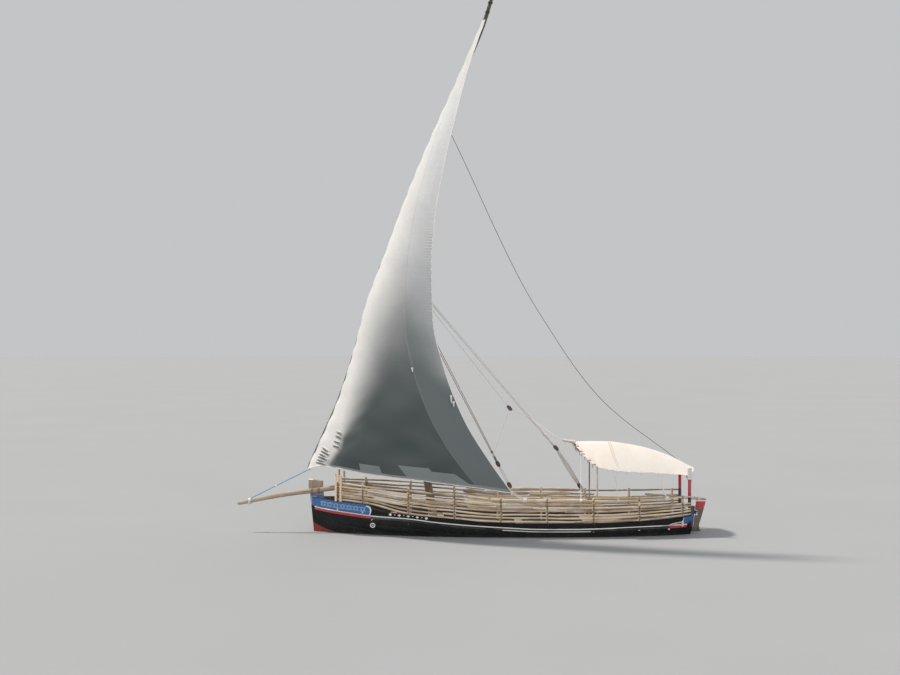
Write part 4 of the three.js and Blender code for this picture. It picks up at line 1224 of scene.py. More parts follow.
def sail_folds(u, row, width, height):
    """How far the canvas stands out of the middle surface, from its small forms."""
    from_leech = (1 - u) * width
    from_luff = u * width
    inside = min(1.0, 6 * u, 6 * (1 - u))
    swell = 0.008 * abs(math.sin(math.pi * from_leech / leech_cloth(row))) * inside
    tugs = math.cos(2 * math.pi * height / TIE_STEP)
    luff_creases = 0.011 * tugs * math.exp(-from_luff / 0.30)
    band = math.exp(-((height - 7.4) / 1.8) ** 2)
    wave = math.sin(2 * math.pi * height / PUCKER_STEP + 2.5 * noise.noise(Vector((height * 1.7, 0, 0))))
    puckers = (0.001 + 0.012 * band) * wave * math.exp(-(from_leech / 0.17) ** 2)
    slack = 0.016 * noise.noise(Vector((u * 2.2, height * 0.32, 4.0))) * math.sin(math.pi * u)
    tack = math.exp(-((from_luff - 0.75) / 0.6) ** 2 - ((row - 0.35) / 0.55) ** 2)
    creases = 0.012 * tack * math.sin(10.0 * (from_luff * 0.8 + (height - 2.0) * 1.3))
    bunches = math.exp(-((from_luff - 1.35) / 0.22) ** 2 - ((row - 1.55) / 0.75) ** 2)
    marks = 0.007 * bunches * math.sin(2 * math.pi * (height * 1.9 - from_luff * 1.2))
    foot = 0.012 * math.exp(-row / 0.12) * math.sin(2 * math.pi * from_luff / 0.42)
    return swell + luff_creases + puckers + slack + creases + marks + foot


def sail_point(u, row, lift=0.0):
    """A finished point of the sail, lifted off its port face."""
    point, outwards, width = sail_base(u, row)
    height = point[2]
    tie_sag = 0.012 * (0.5 - 0.5 * math.cos(2 * math.pi * height / TIE_STEP)) * math.exp(-u * width / 0.12)
    ahead = sail_base(min(u + 0.02, 1.0), row)[0] - point if u < 0.5 else point - sail_base(u - 0.02, row)[0]
    ahead /= np.linalg.norm(ahead)
    upwards = sail_base(u, min(row + 0.05, SAIL_TOP))[0] - sail_base(u, max(row - 0.05, 0.0))[0]
    facing = np.cross(upwards, ahead)
    facing /= np.linalg.norm(facing)
    if facing.dot(outwards) < 0:
        facing = -facing
    return point + ahead * tie_sag + facing * (sail_folds(u, row, width, height) + lift)


def leech_seam(row):
    """The share u of the seam between the main cloths and the one beside the leech."""
    return max(0.03, 1 - leech_cloth(row) / sail_base(0.5, row)[2])


def fading(row, middle, reach):
    """A value that falls from 1 below a row to 0 above it."""
    return 1 / (1 + math.exp((row - middle) / reach))


def sail_painted_shade(u, row):
    """How grey the canvas is painted, for the shade that the photograph shows in it: most in the low middle,
    behind a bright strip at the luff, and less by the leech. PAINTED_SHADE_MAIN and the second number of
    PAINTED_SHADE_EDGE come from a least-squares fit to tones read from the photograph, which another script
    made. The rest is given."""
    uneven = GREY_UNEVEN * noise.noise(Vector((u * 5, row * 2.0, 9.0)))
    seam = leech_seam(row)
    if u > seam:
        most, middle, reach, paler, least = PAINTED_SHADE_LEECH
        outer = (u - seam) / (1 - seam) * clamped((row - 2.4) / 0.5)
        value = most * fading(row, middle, reach) * (1 - paler * outer ** 2) + least
    else:
        most, middle, higher, reach = PAINTED_SHADE_MAIN
        edge, wider = PAINTED_SHADE_EDGE
        bright = 0.10 + 0.05 * math.exp(-(((row - 1.1) / 0.6) ** 2))
        share = clamped((u - bright) / (edge + wider * max(0.0, row - 1.2)))
        value = most * fading(row, middle + higher * u, reach) * share * share * (3 - 2 * share)
    if row < FOOT_BAND:
        value -= FOOT_BAND_PALER
    return clamped(value + uneven)


def sail_patch(name, shares, rows, lift):
    """A stretch of the sail as a sheet: shares is a function from a row to its values of u."""
    places, pairs, shade_and_soil = [], [], []
    for row in rows:
        line = shares(row)
        width = sail_base(0.5, row)[2]
        places.append([sail_point(u, row, lift) for u in line])
        pairs.append([((1 - u) * width, row * 1.55) for u in line])
        # Each point carries its painted shade, which the canvas finish reads.
        shade_and_soil.append([sail_painted_shade(u, row) for u in line])
    sheet = sheet_of(name, places, pairs)
    return paint_value(sheet, "shade_and_soil", np.array(shade_and_soil).reshape(-1))


def thicken(obj, thickness, offset=0.0):
    """Gives a sheet its thickness."""
    wall = obj.modifiers.new("thickness", "SOLIDIFY")
    wall.thickness = thickness
    wall.offset = offset
    return apply_modifiers(obj)


# %% Sail cloth
MAIN_COLUMNS, LEECH_COLUMNS = 46, 20
# Rows lie closer together where the leech is puckered
PUCKERED_FROM, PUCKERED_TO = 3.2, 6.1
FINE_ROWS = np.concatenate([
    np.linspace(0, PUCKERED_FROM, 76)[:-1],
    np.linspace(PUCKERED_FROM, PUCKERED_TO, 250)[:-1],
    np.linspace(PUCKERED_TO, SAIL_TOP, 70),
])


def whole_row(row):
    """Shares across the whole sail, with one of them on the seam."""
    seam = leech_seam(row)
    main = np.linspace(0.0, seam, MAIN_COLUMNS + 1)
    return np.concatenate([main, 1 - (1 - seam) * np.linspace(1.0, 0.0, LEECH_COLUMNS + 1)[1:] ** 1.3])


sail = sail_patch("sail_cloth", whole_row, FINE_ROWS, 0.0)
sail_area = sum(face.area for face in sail.data.polygons)
sail.data.materials.append(sail_canvas)
sail.data.materials.append(leech_canvas)
for index, face in enumerate(sail.data.polygons):
    face.material_index = int(index % (MAIN_COLUMNS + LEECH_COLUMNS) >= MAIN_COLUMNS)
smooth(thicken(sail, CANVAS_THICKNESS), 60)
print("sail area", round(sail_area, 2), "square metres")


# %% Patches, hems and ropes on the sail
def strip(first, last, count):
    """Shares between two edges, each a number or a function of the row."""
    def line(row):
        low, high = (edge(row) if callable(edge) else edge for edge in (first, last))
        return np.linspace(low, high, count)
    return line


def edge_run(u, low, high, steps, lift):
    """A path up the sail at a share u."""
    return np.array([sail_point(u, row, lift) for row in np.linspace(low, high, steps + 1)])


PATCH_LIFT = 0.006
# Patches above the foot: [from share, to share, from row, to row, slant of its ends]
FOOT_PATCHES = [
    (0.31, 0.42, 0.08, 0.42, 0.02), (0.54, 0.69, 0.10, 0.56, 0.05), (0.69, 0.83, 0.08, 0.44, 0.16),
]
patches = []
for index, (first, last, low, high, slant) in enumerate(FOOT_PATCHES):
    shares = strip(lambda row: first - slant * (row - low), lambda row: last - slant * 0.8 * (row - low), 22)
    patch = sail_patch("patch", shares, np.linspace(low, high, 14), PATCH_LIFT + 0.002 * index)
    patches.append(thicken(patch, PATCH_THICKNESS))
foot_patches = smooth(joined("sail_foot_patches", patches), 60)
tack_patch = sail_patch(
    "tack", strip(0.0, lambda row: 0.13 * max(0.05, 1 - row / 0.6), 14), np.linspace(0, 0.6, 26), 0.007,
)
head_patch = sail_patch("head", whole_row, np.linspace(8.74, SAIL_TOP, 18), 0.007)
paint_value(head_patch, "shade_and_soil", 0.4)
pale_patches = smooth(
    joined("sail_pale_patches", [thicken(piece, PATCH_THICKNESS) for piece in (tack_patch, head_patch)]),
    60,
)


def hem_edge(row):
    """The share u of the leech hem's inner edge, which nears the luff where the sail is narrow."""
    return max(0.06, 1 - HEM_WIDTH / sail_base(0.5, row)[2])


hems = []
for side_lift in (PATCH_LIFT, -PATCH_LIFT):
    leech_hem = sail_patch("hem", strip(hem_edge, 1.0, 4), FINE_ROWS, side_lift)
    foot_hem = sail_patch("hem", strip(0.0, 1.0, 67), np.linspace(0.0, 0.10, 4), side_lift)
    hems += [thicken(leech_hem, PATCH_THICKNESS), thicken(foot_hem, PATCH_THICKNESS)]
seam_edges = [
    lambda row, shift=shift: leech_seam(row) + shift / sail_base(0.5, row)[2] for shift in (-0.012, 0.012)
]
hems.append(thicken(sail_patch("seam", strip(*seam_edges, 3), np.linspace(0.0, 8.2, 160), 0.0045), 0.0025))
sail_hems = smooth(joined("sail_hems", hems), 60)

foot_path = [sail_point(u, 0.0) for u in np.linspace(0.0, 1.0, 110)]
bolt_ropes = [
    tube("leech_rope", edge_run(1.0, 0.0, SAIL_TOP, 260, 0.0), 0.015, 8, turns=0.032),
    tube("foot_rope", foot_path, 0.015, 8, turns=0.032),
    tube("luff_rope", edge_run(0.0, 0.0, SAIL_TOP, 260, 0.0), 0.012, 6, turns=0.024),
]
edge_ropes = smooth(joined("sail_edge_ropes", bolt_ropes), 60)
flaps = []
# Torn tufts: [share across the sail, row, length]
for u, row, length in ((0.985, 2.50, 0.22), (0.985, 2.38, 0.15), (leech_seam(2.95), 2.95, 0.12)):
    edge = sail_point(u, row, 0.02)
    points = [edge, edge + (0.0, -0.05, -0.02), edge + (0.01, -0.05, -length)]
    flaps.append(tube("flap", soft_path(points, 8), np.linspace(0.045, 0.012, 9), 7, flat=0.5, tone=0.5))
torn_flaps = joined("sail_torn_flaps", flaps)
paint_value(torn_flaps, "shade_and_soil", 0.0)

# %% Sharp folds behind the luff
def fold_line(first, last, radius, shade_and_soil):
    """A thin fold that stands on the canvas between two places, each a share u and a row."""
    steps = np.linspace(0.0, 1.0, 9)
    path = [sail_point(*(np.array(first) * (1 - s) + np.array(last) * s), 0.010) for s in steps]
    fold = tube("fold", path, radius * np.sin(0.35 + 2.44 * steps), 6, flat=0.7)
    return paint_value(fold, "shade_and_soil", shade_and_soil)


# Folds come in pairs: a pale ridge, and beside it a darker one whose painted shade stands for the fold's
# shaded side.
fold_lines = []
for k in range(6):
    row = 0.84 - 0.12 * k
    reach = 0.065 + 0.014 * (k % 2)
    fold_lines.append(fold_line((0.040, row), (0.040 + reach, row - 0.13), 0.020, 0.0))
    fold_lines.append(fold_line((0.042, row - 0.05), (0.032 + reach, row - 0.19), 0.024, 1.0))
for row in (1.30, 1.20, 1.05, 0.92):
    fold_lines.append(fold_line((0.118, row), (0.170, row - 0.03), 0.022, 1.0))
    fold_lines.append(fold_line((0.116, row + 0.04), (0.160, row + 0.02), 0.017, 0.0))
sharp_folds = smooth(joined("sail_sharp_folds", fold_lines), 60)

# %% Ties along the yard
tie_turns = []
for height in np.arange(2.05, 16.3, TIE_STEP):
    place, radius = yard_place(height), yard_line(height)[2]
    tie_turns.append(coil("tie", place, yard_way(height), radius + 0.009, 2, 0.006, 6, 14))
    knot = place + (-0.02, -radius - 0.02, 0.0)
    tail = soft_path([knot, knot + (0.03, -0.02, -0.04), knot + (0.02, -0.02, -0.10)], 6)
    tie_turns.append(tube("tie", tail, 0.005, 6, turns=0.012))
sail_ties = smooth(joined("sail_ties", tie_turns), 60)
dress(sail, None, "sailcloth", "yard_rig", "sail")
dress(foot_patches, patch_canvas, "sailcloth", "yard_rig")
dress(pale_patches, hem_canvas, "sailcloth", "yard_rig")
dress(sail_hems, leech_canvas, "sailcloth", "yard_rig")
dress(torn_flaps, hem_canvas, "sailcloth", "yard_rig")
dress(sharp_folds, sail_canvas, "sailcloth", "yard_rig")
dress(edge_ropes, rope_pale, "rope", "yard_rig")
dress(sail_ties, rope_brown, "rope", "yard_rig")
print("sail bent to the yard with", len(tie_turns) // 2, "ties")

# %% [markdown]
# ## The pole screens
# Above the sheer stand open screens of peeled mangrove poles, lashed to posts inside the planking. Each row
# is laid from several poles, thin and never quite straight, that overlap at their ends. Amidships the two
# top rows are heavy logs. Screens of this kind keep spray and cargo apart and are renewed pole by pole, so
# their tones vary.

# %% Screen lines
# [x, lowest pole z, highest pole z]
SCREEN_LINES = [
    (-5.15, 1.060, 1.560),
    (-4.15, 0.985, 1.470),
    (-3.00, 0.725, 1.400),
    (-1.60, 0.600, 1.270),
    (0.00, 0.500, 1.130),
    (2.00, 0.480, 1.120),
    (3.00, 0.490, 1.100),
    (4.20, 0.530, 1.130),
    (5.70, 0.670, 1.175),
]
SCREEN_POSTS = [-5.08, -4.30, -2.90, -1.50, -0.10, 1.30, 2.70, 4.10, 5.45]
POLE_SHARES = [0.0, 0.16, 0.32, 0.48, 0.64, 0.8, 1.0]
POLE_RADIUS = 0.031
LOG_RADIUS = 0.058
GAP_SHARE, GAP_FROM = 0.8, 3.0
LOG_SPAN = (-1.7, 2.5)
# Two tall posts outside the poles at the bow: [x, top z]
BOW_POSTS = [(-5.14, 1.86), (-4.99, 1.80)]
POLE_INSET = 0.030
POST_HALF = 0.035
screen_lines = fairing(SCREEN_LINES)


def screen_place(x, share, side, inset=POLE_INSET):
    """The middle of a pole at x, at a share of the screen's height."""
    low, high = screen_lines(x)
    return np.array((x, side * (breadth_at(x) - inset), low + (high - low) * share))


def crooked_pole(x0, x1, share, side, radius, seed, inset=POLE_INSET):
    """One pole, tapered to its top end, with bends and knots."""
    count = max(8, int((x1 - x0) / 0.13))
    path, radii = [], []
    for k, x in enumerate(np.linspace(x0, x1, count + 1)):
        point = screen_place(x, share, side, inset)
        point[1] += ripple((x, seed, 0), 0.9, 0.014)
        point[2] += ripple((x, seed, 5), 0.75, 0.026) + ripple((x, seed, 9), 2.3, 0.007)
        along = k / count
        ends = 0.82 if k in (0, count) else 1.0
        knots = 1 + ripple((x, seed, 2), 3.2, 0.16)
        radii.append(radius * (1.06 - 0.2 * along) * knots * ends)
        path.append(point)
    return tube("pole", path, radii, 9, tone=random.random())


def make_screen(side):
    """All poles and posts of one side, and the lashings that hold them."""
    first, last = SCREEN_LINES[0][0], SCREEN_LINES[-1][0]
    poles, loops = [], []
    for row, share in enumerate(POLE_SHARES):
        x, stop = first, GAP_FROM if share == GAP_SHARE else last
        while x < stop - 0.2:
            end = x + random.uniform(2.6, 4.4)
            end = stop if stop - end < 1.2 else end
            poles.append(crooked_pole(x, end, share, side, POLE_RADIUS, random.uniform(0, 90)))
            x = stop if end == stop else end - 0.06
        if row >= len(POLE_SHARES) - 2:
            low, high = LOG_SPAN
            split = low + (0.62 if row % 2 else 0.3) * (high - low)
            shift = 0.012 * side
            for x0, x1 in ((low + 0.1 * row, split - 0.03), (split + 0.02, high - 0.3 * (row % 2))):
                seed = random.uniform(0, 90)
                poles.append(crooked_pole(x0, x1, share, side, LOG_RADIUS, seed, POLE_INSET + 0.02))
    for x in (-3.6, -1.1, 1.6, 3.4):
        span, seed = random.uniform(1.9, 2.6), random.uniform(0, 90)
        poles.append(crooked_pole(x, min(x + span, last), 0.56, side, POLE_RADIUS * 0.9, seed, 0.15))
    for x in SCREEN_POSTS:
        top = screen_lines(x)[1] + random.uniform(0.03, 0.11)
        foot = sheer_at(x) - 0.28
        y = breadth_at(x) - PLANK_THICKNESS - POST_HALF - 0.002
        path = [(x + 0.01 * random.uniform(-1, 1), side * (y + 0.004 * random.uniform(-1, 1)), z)
                for z in np.linspace(foot, top, 9)]
        poles.append(tube("post", path, [0.036] + [0.038] * 7 + [0.031], 8, tone=random.uniform(0.7, 1.1)))
        for share in POLE_SHARES:
            if share == GAP_SHARE and x > GAP_FROM:
                continue
            place = screen_place(x, share, side)
            heavy = share > 0.7 and LOG_SPAN[0] < x < LOG_SPAN[1]
            size = (LOG_RADIUS if heavy else POLE_RADIUS) + 0.008
            loops.append(coil("loop", place, (1, 0.25 * random.uniform(-1, 1), 0), size, 3, 0.0055, 5, 10))
            if random.random() < 0.6:
                knot = place + (0.0, side * (size + 0.004), 0.0)
                drop = random.uniform(0.05, 0.12)
                tail = [knot, knot + (0.012, side * 0.006, -drop * 0.4), knot + (0.02, side * 0.002, -drop)]
                loops.append(tube("tail", soft_path(tail, 5), 0.0045, 5, turns=0.01))
    for x, top in BOW_POSTS:
        y = side * (breadth_at(x) - POLE_INSET + POLE_RADIUS + 0.038)
        path = [(x, y, z) for z in np.linspace(sheer_at(x) + 0.01, top, 9)]
        poles.append(tube("post", path, 0.036, 8, tone=1.1))
    screen = smooth(joined("pole_screen_dressed_" + SIDE_NAMES[side], poles), 55)
    dress(screen, pole_wood, "pole_wood", "hull", "pole_screen_" + SIDE_NAMES[side])
    ties = smooth(joined("screen_lashings_" + SIDE_NAMES[side], loops), 60)
    dress(ties, rope_brown, "rope", "hull")
    print(screen.name, len(screen.data.polygons), "faces,", len(loops), "loops and tails")


for side in (PORT, STARBOARD):
    make_screen(side)

# %% [markdown]
# ## Blocks and standing ropes
# From the masthead two stays run down to the starboard rail, the weather side. Each ends in a wooden block,
# and several parts of rope go on from the block to a lower one at the rail. A block is a shell of elm round a
# wheel, so it is made from two cubes that are rounded and waisted for its rope strop, with the wheel between
# them.

# %% Block
def make_block(name, length, width):
    """A rope block along Z at the origin: two cheeks and a sheave between them."""
    parts = []
    for cheek_side in (-1, 1):
        bpy.ops.mesh.primitive_cube_add(size=1, location=(cheek_side * width * 0.30, 0, 0))
        cheek = bpy.context.object
        edit(cheek)
        bpy.ops.transform.resize(value=(width * 0.28, width * 0.9, length))
        bpy.ops.mesh.subdivide(number_cuts=3)
        close(cheek)
        for vertex in cheek.data.vertices:
            waist = math.cos(vertex.co.z / length * math.pi * 0.86)
            vertex.co.y *= 0.45 + 0.55 * waist
        bevel = cheek.modifiers.new("round", "BEVEL")
        bevel.width = width * 0.07
        bevel.segments = 2
        bevel.limit_method = "ANGLE"
        apply_modifiers(cheek)
        parts.append(board_uv(cheek, 2))
    bpy.ops.mesh.primitive_cylinder_add(
        vertices=20, radius=width * 0.38, depth=width * 0.24, rotation=(0, math.pi / 2, 0),
    )
    sheave = bpy.context.object
    bpy.ops.object.transform_apply(location=False, rotation=True, scale=False)
    parts.append(board_uv(sheave, 2))
    block = joined(name, parts)
    bpy.ops.object.transform_apply(location=True, rotation=True, scale=True)
    return smooth(paint_value(block, "tone", 0.7), 40)


def placed(template, name, place, way, roll=0.0):
    """A copy of a piece made along Z, with its own mesh, turned along a direction and moved to its place."""
    copy = template.copy()
    copy.data = template.data.copy()
    copy.name = name
    bpy.context.collection.objects.link(copy)
    turn = Vector(way).to_track_quat("Z", "Y").to_matrix().to_4x4()
    copy.data.transform(turn)
    copy.data.transform(Matrix.Translation(Vector(place)))
    return copy


block_template = make_block("block_template", 0.20, 0.12)

# %% Stays
# [name, masthead z, block's place, rail x, rope radius, parts below the block, share of its length at a knot]
STAYS = [
    ("backstay", 8.64, (1.750, 1.270, 2.490), 2.62, 0.017, 4, 0.93),
    ("shroud", 8.68, (-0.098, 1.470, 1.960), 0.35, 0.010, 3, 0.644),
]


def rope(name, points, radius, steps=24, sag=0.0):
    """A rope through a few points, with a sag between them."""
    path = soft_path(points, steps)
    share = np.linspace(0.0, 1.0, len(path))
    path[:, 2] -= sag * 4 * share * (1 - share)
    return tube(name, path, radius, 7, turns=2 * radius)


def toward(first, second):
    """The unit vector from one point to another."""
    return (second - first) / np.linalg.norm(second - first)


def make_stay(name, mast_z, block_place, rail_x, radius, parts, knot_share):
    """The pair of ropes from the masthead, the block, the tackle and a lower block at the rail."""
    top = mast_point(mast_z)
    foot = screen_place(rail_x, 1.0, STARBOARD)
    middle = np.array(block_place)
    way, low_way = toward(top, middle), toward(middle, foot)
    across = toward(np.zeros(3), np.cross(way, (0, 1, 0)))
    start = top + way * (MAST_HEAD_RADIUS + 0.01)
    stay_ropes = []
    for offset in (-0.016, 0.016):
        shift = across * offset
        end = middle - way * 0.10 + shift
        stay_ropes.append(rope(name, [start + shift, (start + end) / 2 + shift, end], radius, 60))
    for distance in (0.16, 0.24, 0.44):
        stay_ropes.append(coil(name, middle - way * distance, way, 0.030, 4, 0.008))
    stay = smooth(joined(name + "_ropes", stay_ropes), 60)
    dress(stay, rope_pale if name == "backstay" else rope_brown, "rope", "hull", name)
    upper = placed(block_template, name + "_upper_block", middle, way)
    dress(upper, yard_wood, "weathered_wood", "hull", name + "_block")
    low_place = foot - low_way * 0.16
    lower = placed(block_template, name + "_lower_block", low_place, low_way)
    dress(lower, yard_wood, "weathered_wood", "hull")
    falls = []
    for k in range(parts):
        spread = (k - (parts - 1) / 2) * 0.026
        first = middle + low_way * 0.09 + across * spread * 0.7
        last = low_place - low_way * 0.09 + across * spread * 1.1
        falls.append(rope(name, [first, (first + last) / 2 + across * spread * 0.6, last], radius * 0.8, 20))
    falls.append(coil(name, foot, (1, 0, 0.05), POLE_RADIUS + 0.035, 4, 0.010))
    falls.append(coil(name, top + (middle - top) * knot_share, way, 0.036, 3, 0.014))
    tail = [
        low_place + low_way * 0.05, foot + (0.10, -0.06, -0.10), foot + (0.22, -0.09, -0.42),
        foot + (0.20, -0.12, -0.68),
    ]
    falls.append(rope(name, tail, radius * 0.8, 18))
    dress(smooth(joined(name + "_falls", falls), 60), rope_pale, "rope", "hull", name + "_tackle")


for stay_row in STAYS:
    make_stay(*stay_row)
print(len(STAYS), "stays set up")

# %% [markdown]
# ## The bow
# A crooked spar is lashed over the stem and holds the sail's tack out ahead. The stem rises above the sheer
# as a square block, once painted. Behind it the bow strakes carry a blue panel with an interlaced painted
# band, which is a common ornament on these boats, and lower down there is a white ring on each side.

# %% Painted ends
def cut_bands(obj, axis, cuts, materials):
    """Cuts a piece across an axis at some heights and gives each band its own paint, from the lowest up."""
    normal = [0.0, 0.0, 0.0]
    normal[axis] = 1.0
    for cut in cuts:
        edit(obj)
        point = [cut if i == axis else 0.0 for i in range(3)]
        bpy.ops.mesh.bisect(plane_co=point, plane_no=normal)
        close(obj)
    obj.data.materials.clear()
    for material in materials:
        obj.data.materials.append(material)
    for face in obj.data.polygons:
        face.material_index = sum(face.center[axis] > cut for cut in cuts)
    return obj


stem = rounded("stem_post", 0.016, 2)
cut_bands(stem, 2, (0.80, 1.14, 1.60), (hull_paint, blue_paint, spar_wood, white_paint))
paint_value(stem, "tone", 0.5)
dress(stem, None, "weathered_wood", "hull", "stem_post")

transom_panel = rounded("transom", 0.008, 1)
cut_bands(transom_panel, 2, (0.255, 0.355), (hull_paint, red_paint, blue_paint))
paint_value(transom_panel, "tone", 0.5)
dress(transom_panel, None, "tarred_wood", "hull", "transom")
print("stem and transom painted")

# %% Ornament laid on the planks
def laid_on_skin(obj, x, z, side):
    """Bends a flat piece, made round the origin in X and Y, onto the planks at x and z."""
    for vertex in obj.data.vertices:
        along, up, height = vertex.co
        station = x + along
        t = share_at(station, z + up)
        vertex.co = skin_point(station, t, side) + skin_out(station, t, side) * (height + 0.001)
    obj.data.update()
    edit(obj)
    bpy.ops.mesh.normals_make_consistent(inside=False)
    return close(obj)


def flat_disc(name, radius, height, points=24, inner=0.0):
    """A low disc, or a ring where it has an inner radius, with a rounded edge."""
    bpy.ops.mesh.primitive_circle_add(vertices=points, radius=radius, fill_type="NGON")
    disc = bpy.context.object
    disc.name = name
    edit(disc)
    if inner:
        bpy.ops.mesh.inset(thickness=radius - inner)
        bpy.ops.mesh.delete(type="FACE")
        bpy.ops.mesh.select_all(action="SELECT")
    bpy.ops.mesh.extrude_region_move(TRANSFORM_OT_translate={"value": (0, 0, height)})
    close(disc)
    bevel = disc.modifiers.new("round", "BEVEL")
    bevel.width = height * 0.35
    bevel.segments = 2
    bevel.limit_method = "ANGLE"
    return apply_modifiers(disc)


def brush_stroke(name, points, radius, steps=24):
    """A painted line in relief: a flattened tube through flat points."""
    path = soft_path([(x, y, 0.0) for x, y in points], steps)
    taper = np.sin(np.linspace(0.12, math.pi - 0.12, len(path))) ** 0.4
    stroke = tube(name, path, radius * taper, 6, tone=0.5)
    for vertex in stroke.data.vertices:
        vertex.co.z *= 0.35
    return stroke


OCULUS_X, OCULUS_Z, OCULUS_RADIUS = -3.99, 0.30, 0.080
PANEL_FROM, PANEL_TO = -5.66, -4.20
VINE_WAVES = 7
# One wave of the band: [along, share of its height]
WAVE = [(-0.105, -1.0), (-0.05, 0.0), (0.0, 1.0), (0.05, 0.0), (0.105, -1.0)]
LOZENGES = 9
LOZENGE_FROM, LOZENGE_TO = -3.45, -2.35


def panel_middle(station):
    """Height halfway between the wale's top and the sheer."""
    row = hull_lines(station)
    return (row[5] + WALE_HEIGHT / 2 + row[2]) / 2


def make_ornament(side):
    """The marks on one side: ring, interlaced band with its bracket, and a row of small lozenges."""
    ring = laid_on_skin(flat_disc("ring", OCULUS_RADIUS, 0.016, 28, 0.045), OCULUS_X, OCULUS_Z, side)
    dot = laid_on_skin(flat_disc("dot", 0.018, 0.018, 12), OCULUS_X, OCULUS_Z, side)
    tick_line = brush_stroke("tick", [(-0.05, 0.0), (0.0, 0.05), (0.07, 0.07)], 0.012)
    tick = laid_on_skin(tick_line, OCULUS_X, 0.445, side)
    rings = joined("bow_ring_" + SIDE_NAMES[side], [ring, dot, tick])
    paint_value(rings, "tone", 0.5)
    dress(smooth(rings, 40), white_paint, "white_paint", "hull", "oculus_" + SIDE_NAMES[side])
    vine = []
    for wave in range(VINE_WAVES):
        x = PANEL_FROM + (PANEL_TO - PANEL_FROM) * (wave + 0.5) / VINE_WAVES
        z = panel_middle(x)
        for way in (1, -1):
            wave_points = [(x_step, 0.07 * way * rise) for x_step, rise in WAVE]
            vine.append(laid_on_skin(brush_stroke("vine", wave_points, 0.013), x, z, side))
            for rise in (0.055, -0.055):
                berry = flat_disc("berry", 0.018, 0.006, 10)
                vine.append(laid_on_skin(berry, x + 0.052 * way, z + rise, side))
    vine_piece = joined("bow_vine_" + SIDE_NAMES[side], vine)
    paint_value(vine_piece, "tone", 0.5)
    dress(smooth(vine_piece, 50), sky_paint, "white_paint", "hull")
    strokes = []
    bracket = [(-0.10, 0.135), (0.0, 0.10), (0.045, 0.02), (0.035, -0.09), (0.0, -0.13)]
    strokes.append(laid_on_skin(brush_stroke("bracket", bracket, 0.024), -4.10, panel_middle(-4.10), side))
    low = [(-0.28, -0.105), (-0.16, -0.07), (0.0, -0.05), (0.10, -0.03), (0.15, 0.02), (0.17, 0.10)]
    strokes.append(laid_on_skin(brush_stroke("stern_bracket", low, 0.016), 5.32, panel_middle(5.32), side))
    strokes.append(laid_on_skin(flat_disc("stern_dot", 0.035, 0.012, 16), 5.03, 0.215, side))
    for k in range(LOZENGES):
        x = LOZENGE_FROM + (LOZENGE_TO - LOZENGE_FROM) * k / (LOZENGES - 1)
        big = k % 2 == 0
        mark = flat_disc("lozenge", 0.050 if big else 0.020, 0.004, 4)
        strokes.append(laid_on_skin(mark, x, hull_lines(x)[5] + 0.125, side))
    for k in range(4):
        path = [(-5.94 + 0.045 * k, side * (HALF_KEEL + 0.001), z) for z in np.linspace(0.84, 1.11, 6)]
        strokes.append(tube("stem_stripe", path, 0.007, 6))
    lines = joined("painted_marks_" + SIDE_NAMES[side], strokes)
    paint_value(lines, "tone", 0.5)
    dress(smooth(lines, 50), white_paint, "white_paint", "hull")


for side in (PORT, STARBOARD):
    make_ornament(side)
print("ornament laid on the bows")

# %% Bowsprit and bow rails
# [x, z, radius]
BOWSPRIT_LINE = [
    (-8.24, 0.870, 0.060),
    (-6.78, 1.150, 0.072),
    (-5.80, 1.282, 0.078),
    (-5.00, 1.385, 0.082),
    (-4.05, 1.480, 0.082),
]
BOWSPRIT_Y = -0.1507
BOWSPRIT_HEAD, BOWSPRIT_HEEL = BOWSPRIT_LINE[0][0], BOWSPRIT_LINE[-1][0]
TACK_RING_X = -7.86
bowsprit_line = fairing(BOWSPRIT_LINE)


def make_bowsprit():
    """The crooked spar with its worn end, and the lashings to the stem and the cross rails."""
    stations = np.linspace(BOWSPRIT_HEAD, BOWSPRIT_HEEL, 60)
    path = np.array([(x, BOWSPRIT_Y + ripple((x, 1, 0), 0.8, 0.006), bowsprit_line(x)[0]) for x in stations])
    radii = np.array([bowsprit_line(x)[1] * (0.985 + ripple((x, 0, 4), 1.9, 0.03)) for x in stations])
    radii[:2] *= (0.6, 0.93)
    radii[-2:] *= (0.93, 0.6)
    spar = smooth(tube("bowsprit_spar", path, radii, 14, tone=0.75), 50)
    dress(spar, spar_wood, "weathered_wood", "hull", "bowsprit")
    bands = []
    for x, turns in ((TACK_RING_X, 4), (-5.92, 3), (-5.72, 4), (-5.0, 3), (-4.22, 4)):
        z, radius = bowsprit_line(x)
        bands.append(coil("band", (x, BOWSPRIT_Y, z), (1, 0, 0.17), radius + 0.010, turns, 0.010, 6, 16))
    for x in (-5.86, -5.66):
        z = bowsprit_line(x)[0]
        loop = [(x, 0.09, z - 0.06), (x, 0.085, z + 0.09), (x, -0.03, z + 0.115), (x, -0.15, z + 0.10)]
        bands.append(rope("stem_loop", loop, 0.012, 16))
    dress_parts("bowsprit_lashings", bands, rope_brown, "rope", "hull")
    for rail_name in ("bow_rail_fore", "bow_rail_aft"):
        low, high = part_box(rail_name)
        x, z = (low.x + high.x) / 2, (low.z + high.z) / 2
        points = [(x + ripple((y, 3, 1), 1.2, 0.004), y, z + ripple((y, 0, 1), 1.2, 0.004))
                  for y in np.linspace(low.y, high.y, 16)]
        rail = tube(rail_name + "_pole", points, (high.z - low.z) / 2, 10, tone=random.random())
        dress(smooth(rail, 50), pole_wood, "pole_wood", "hull", rail_name)


make_bowsprit()
print("bowsprit lashed")

# %% [markdown]
# ## The stern and its awning
# Two corner posts carry the after end of the awning, their heads wrapped in white cloth. The awning is one
# sheet sewn from three widths, stretched over a ridge pole and two hoops and tied down along its eaves. Its
# fore end is bunched together and tied to the backstay.

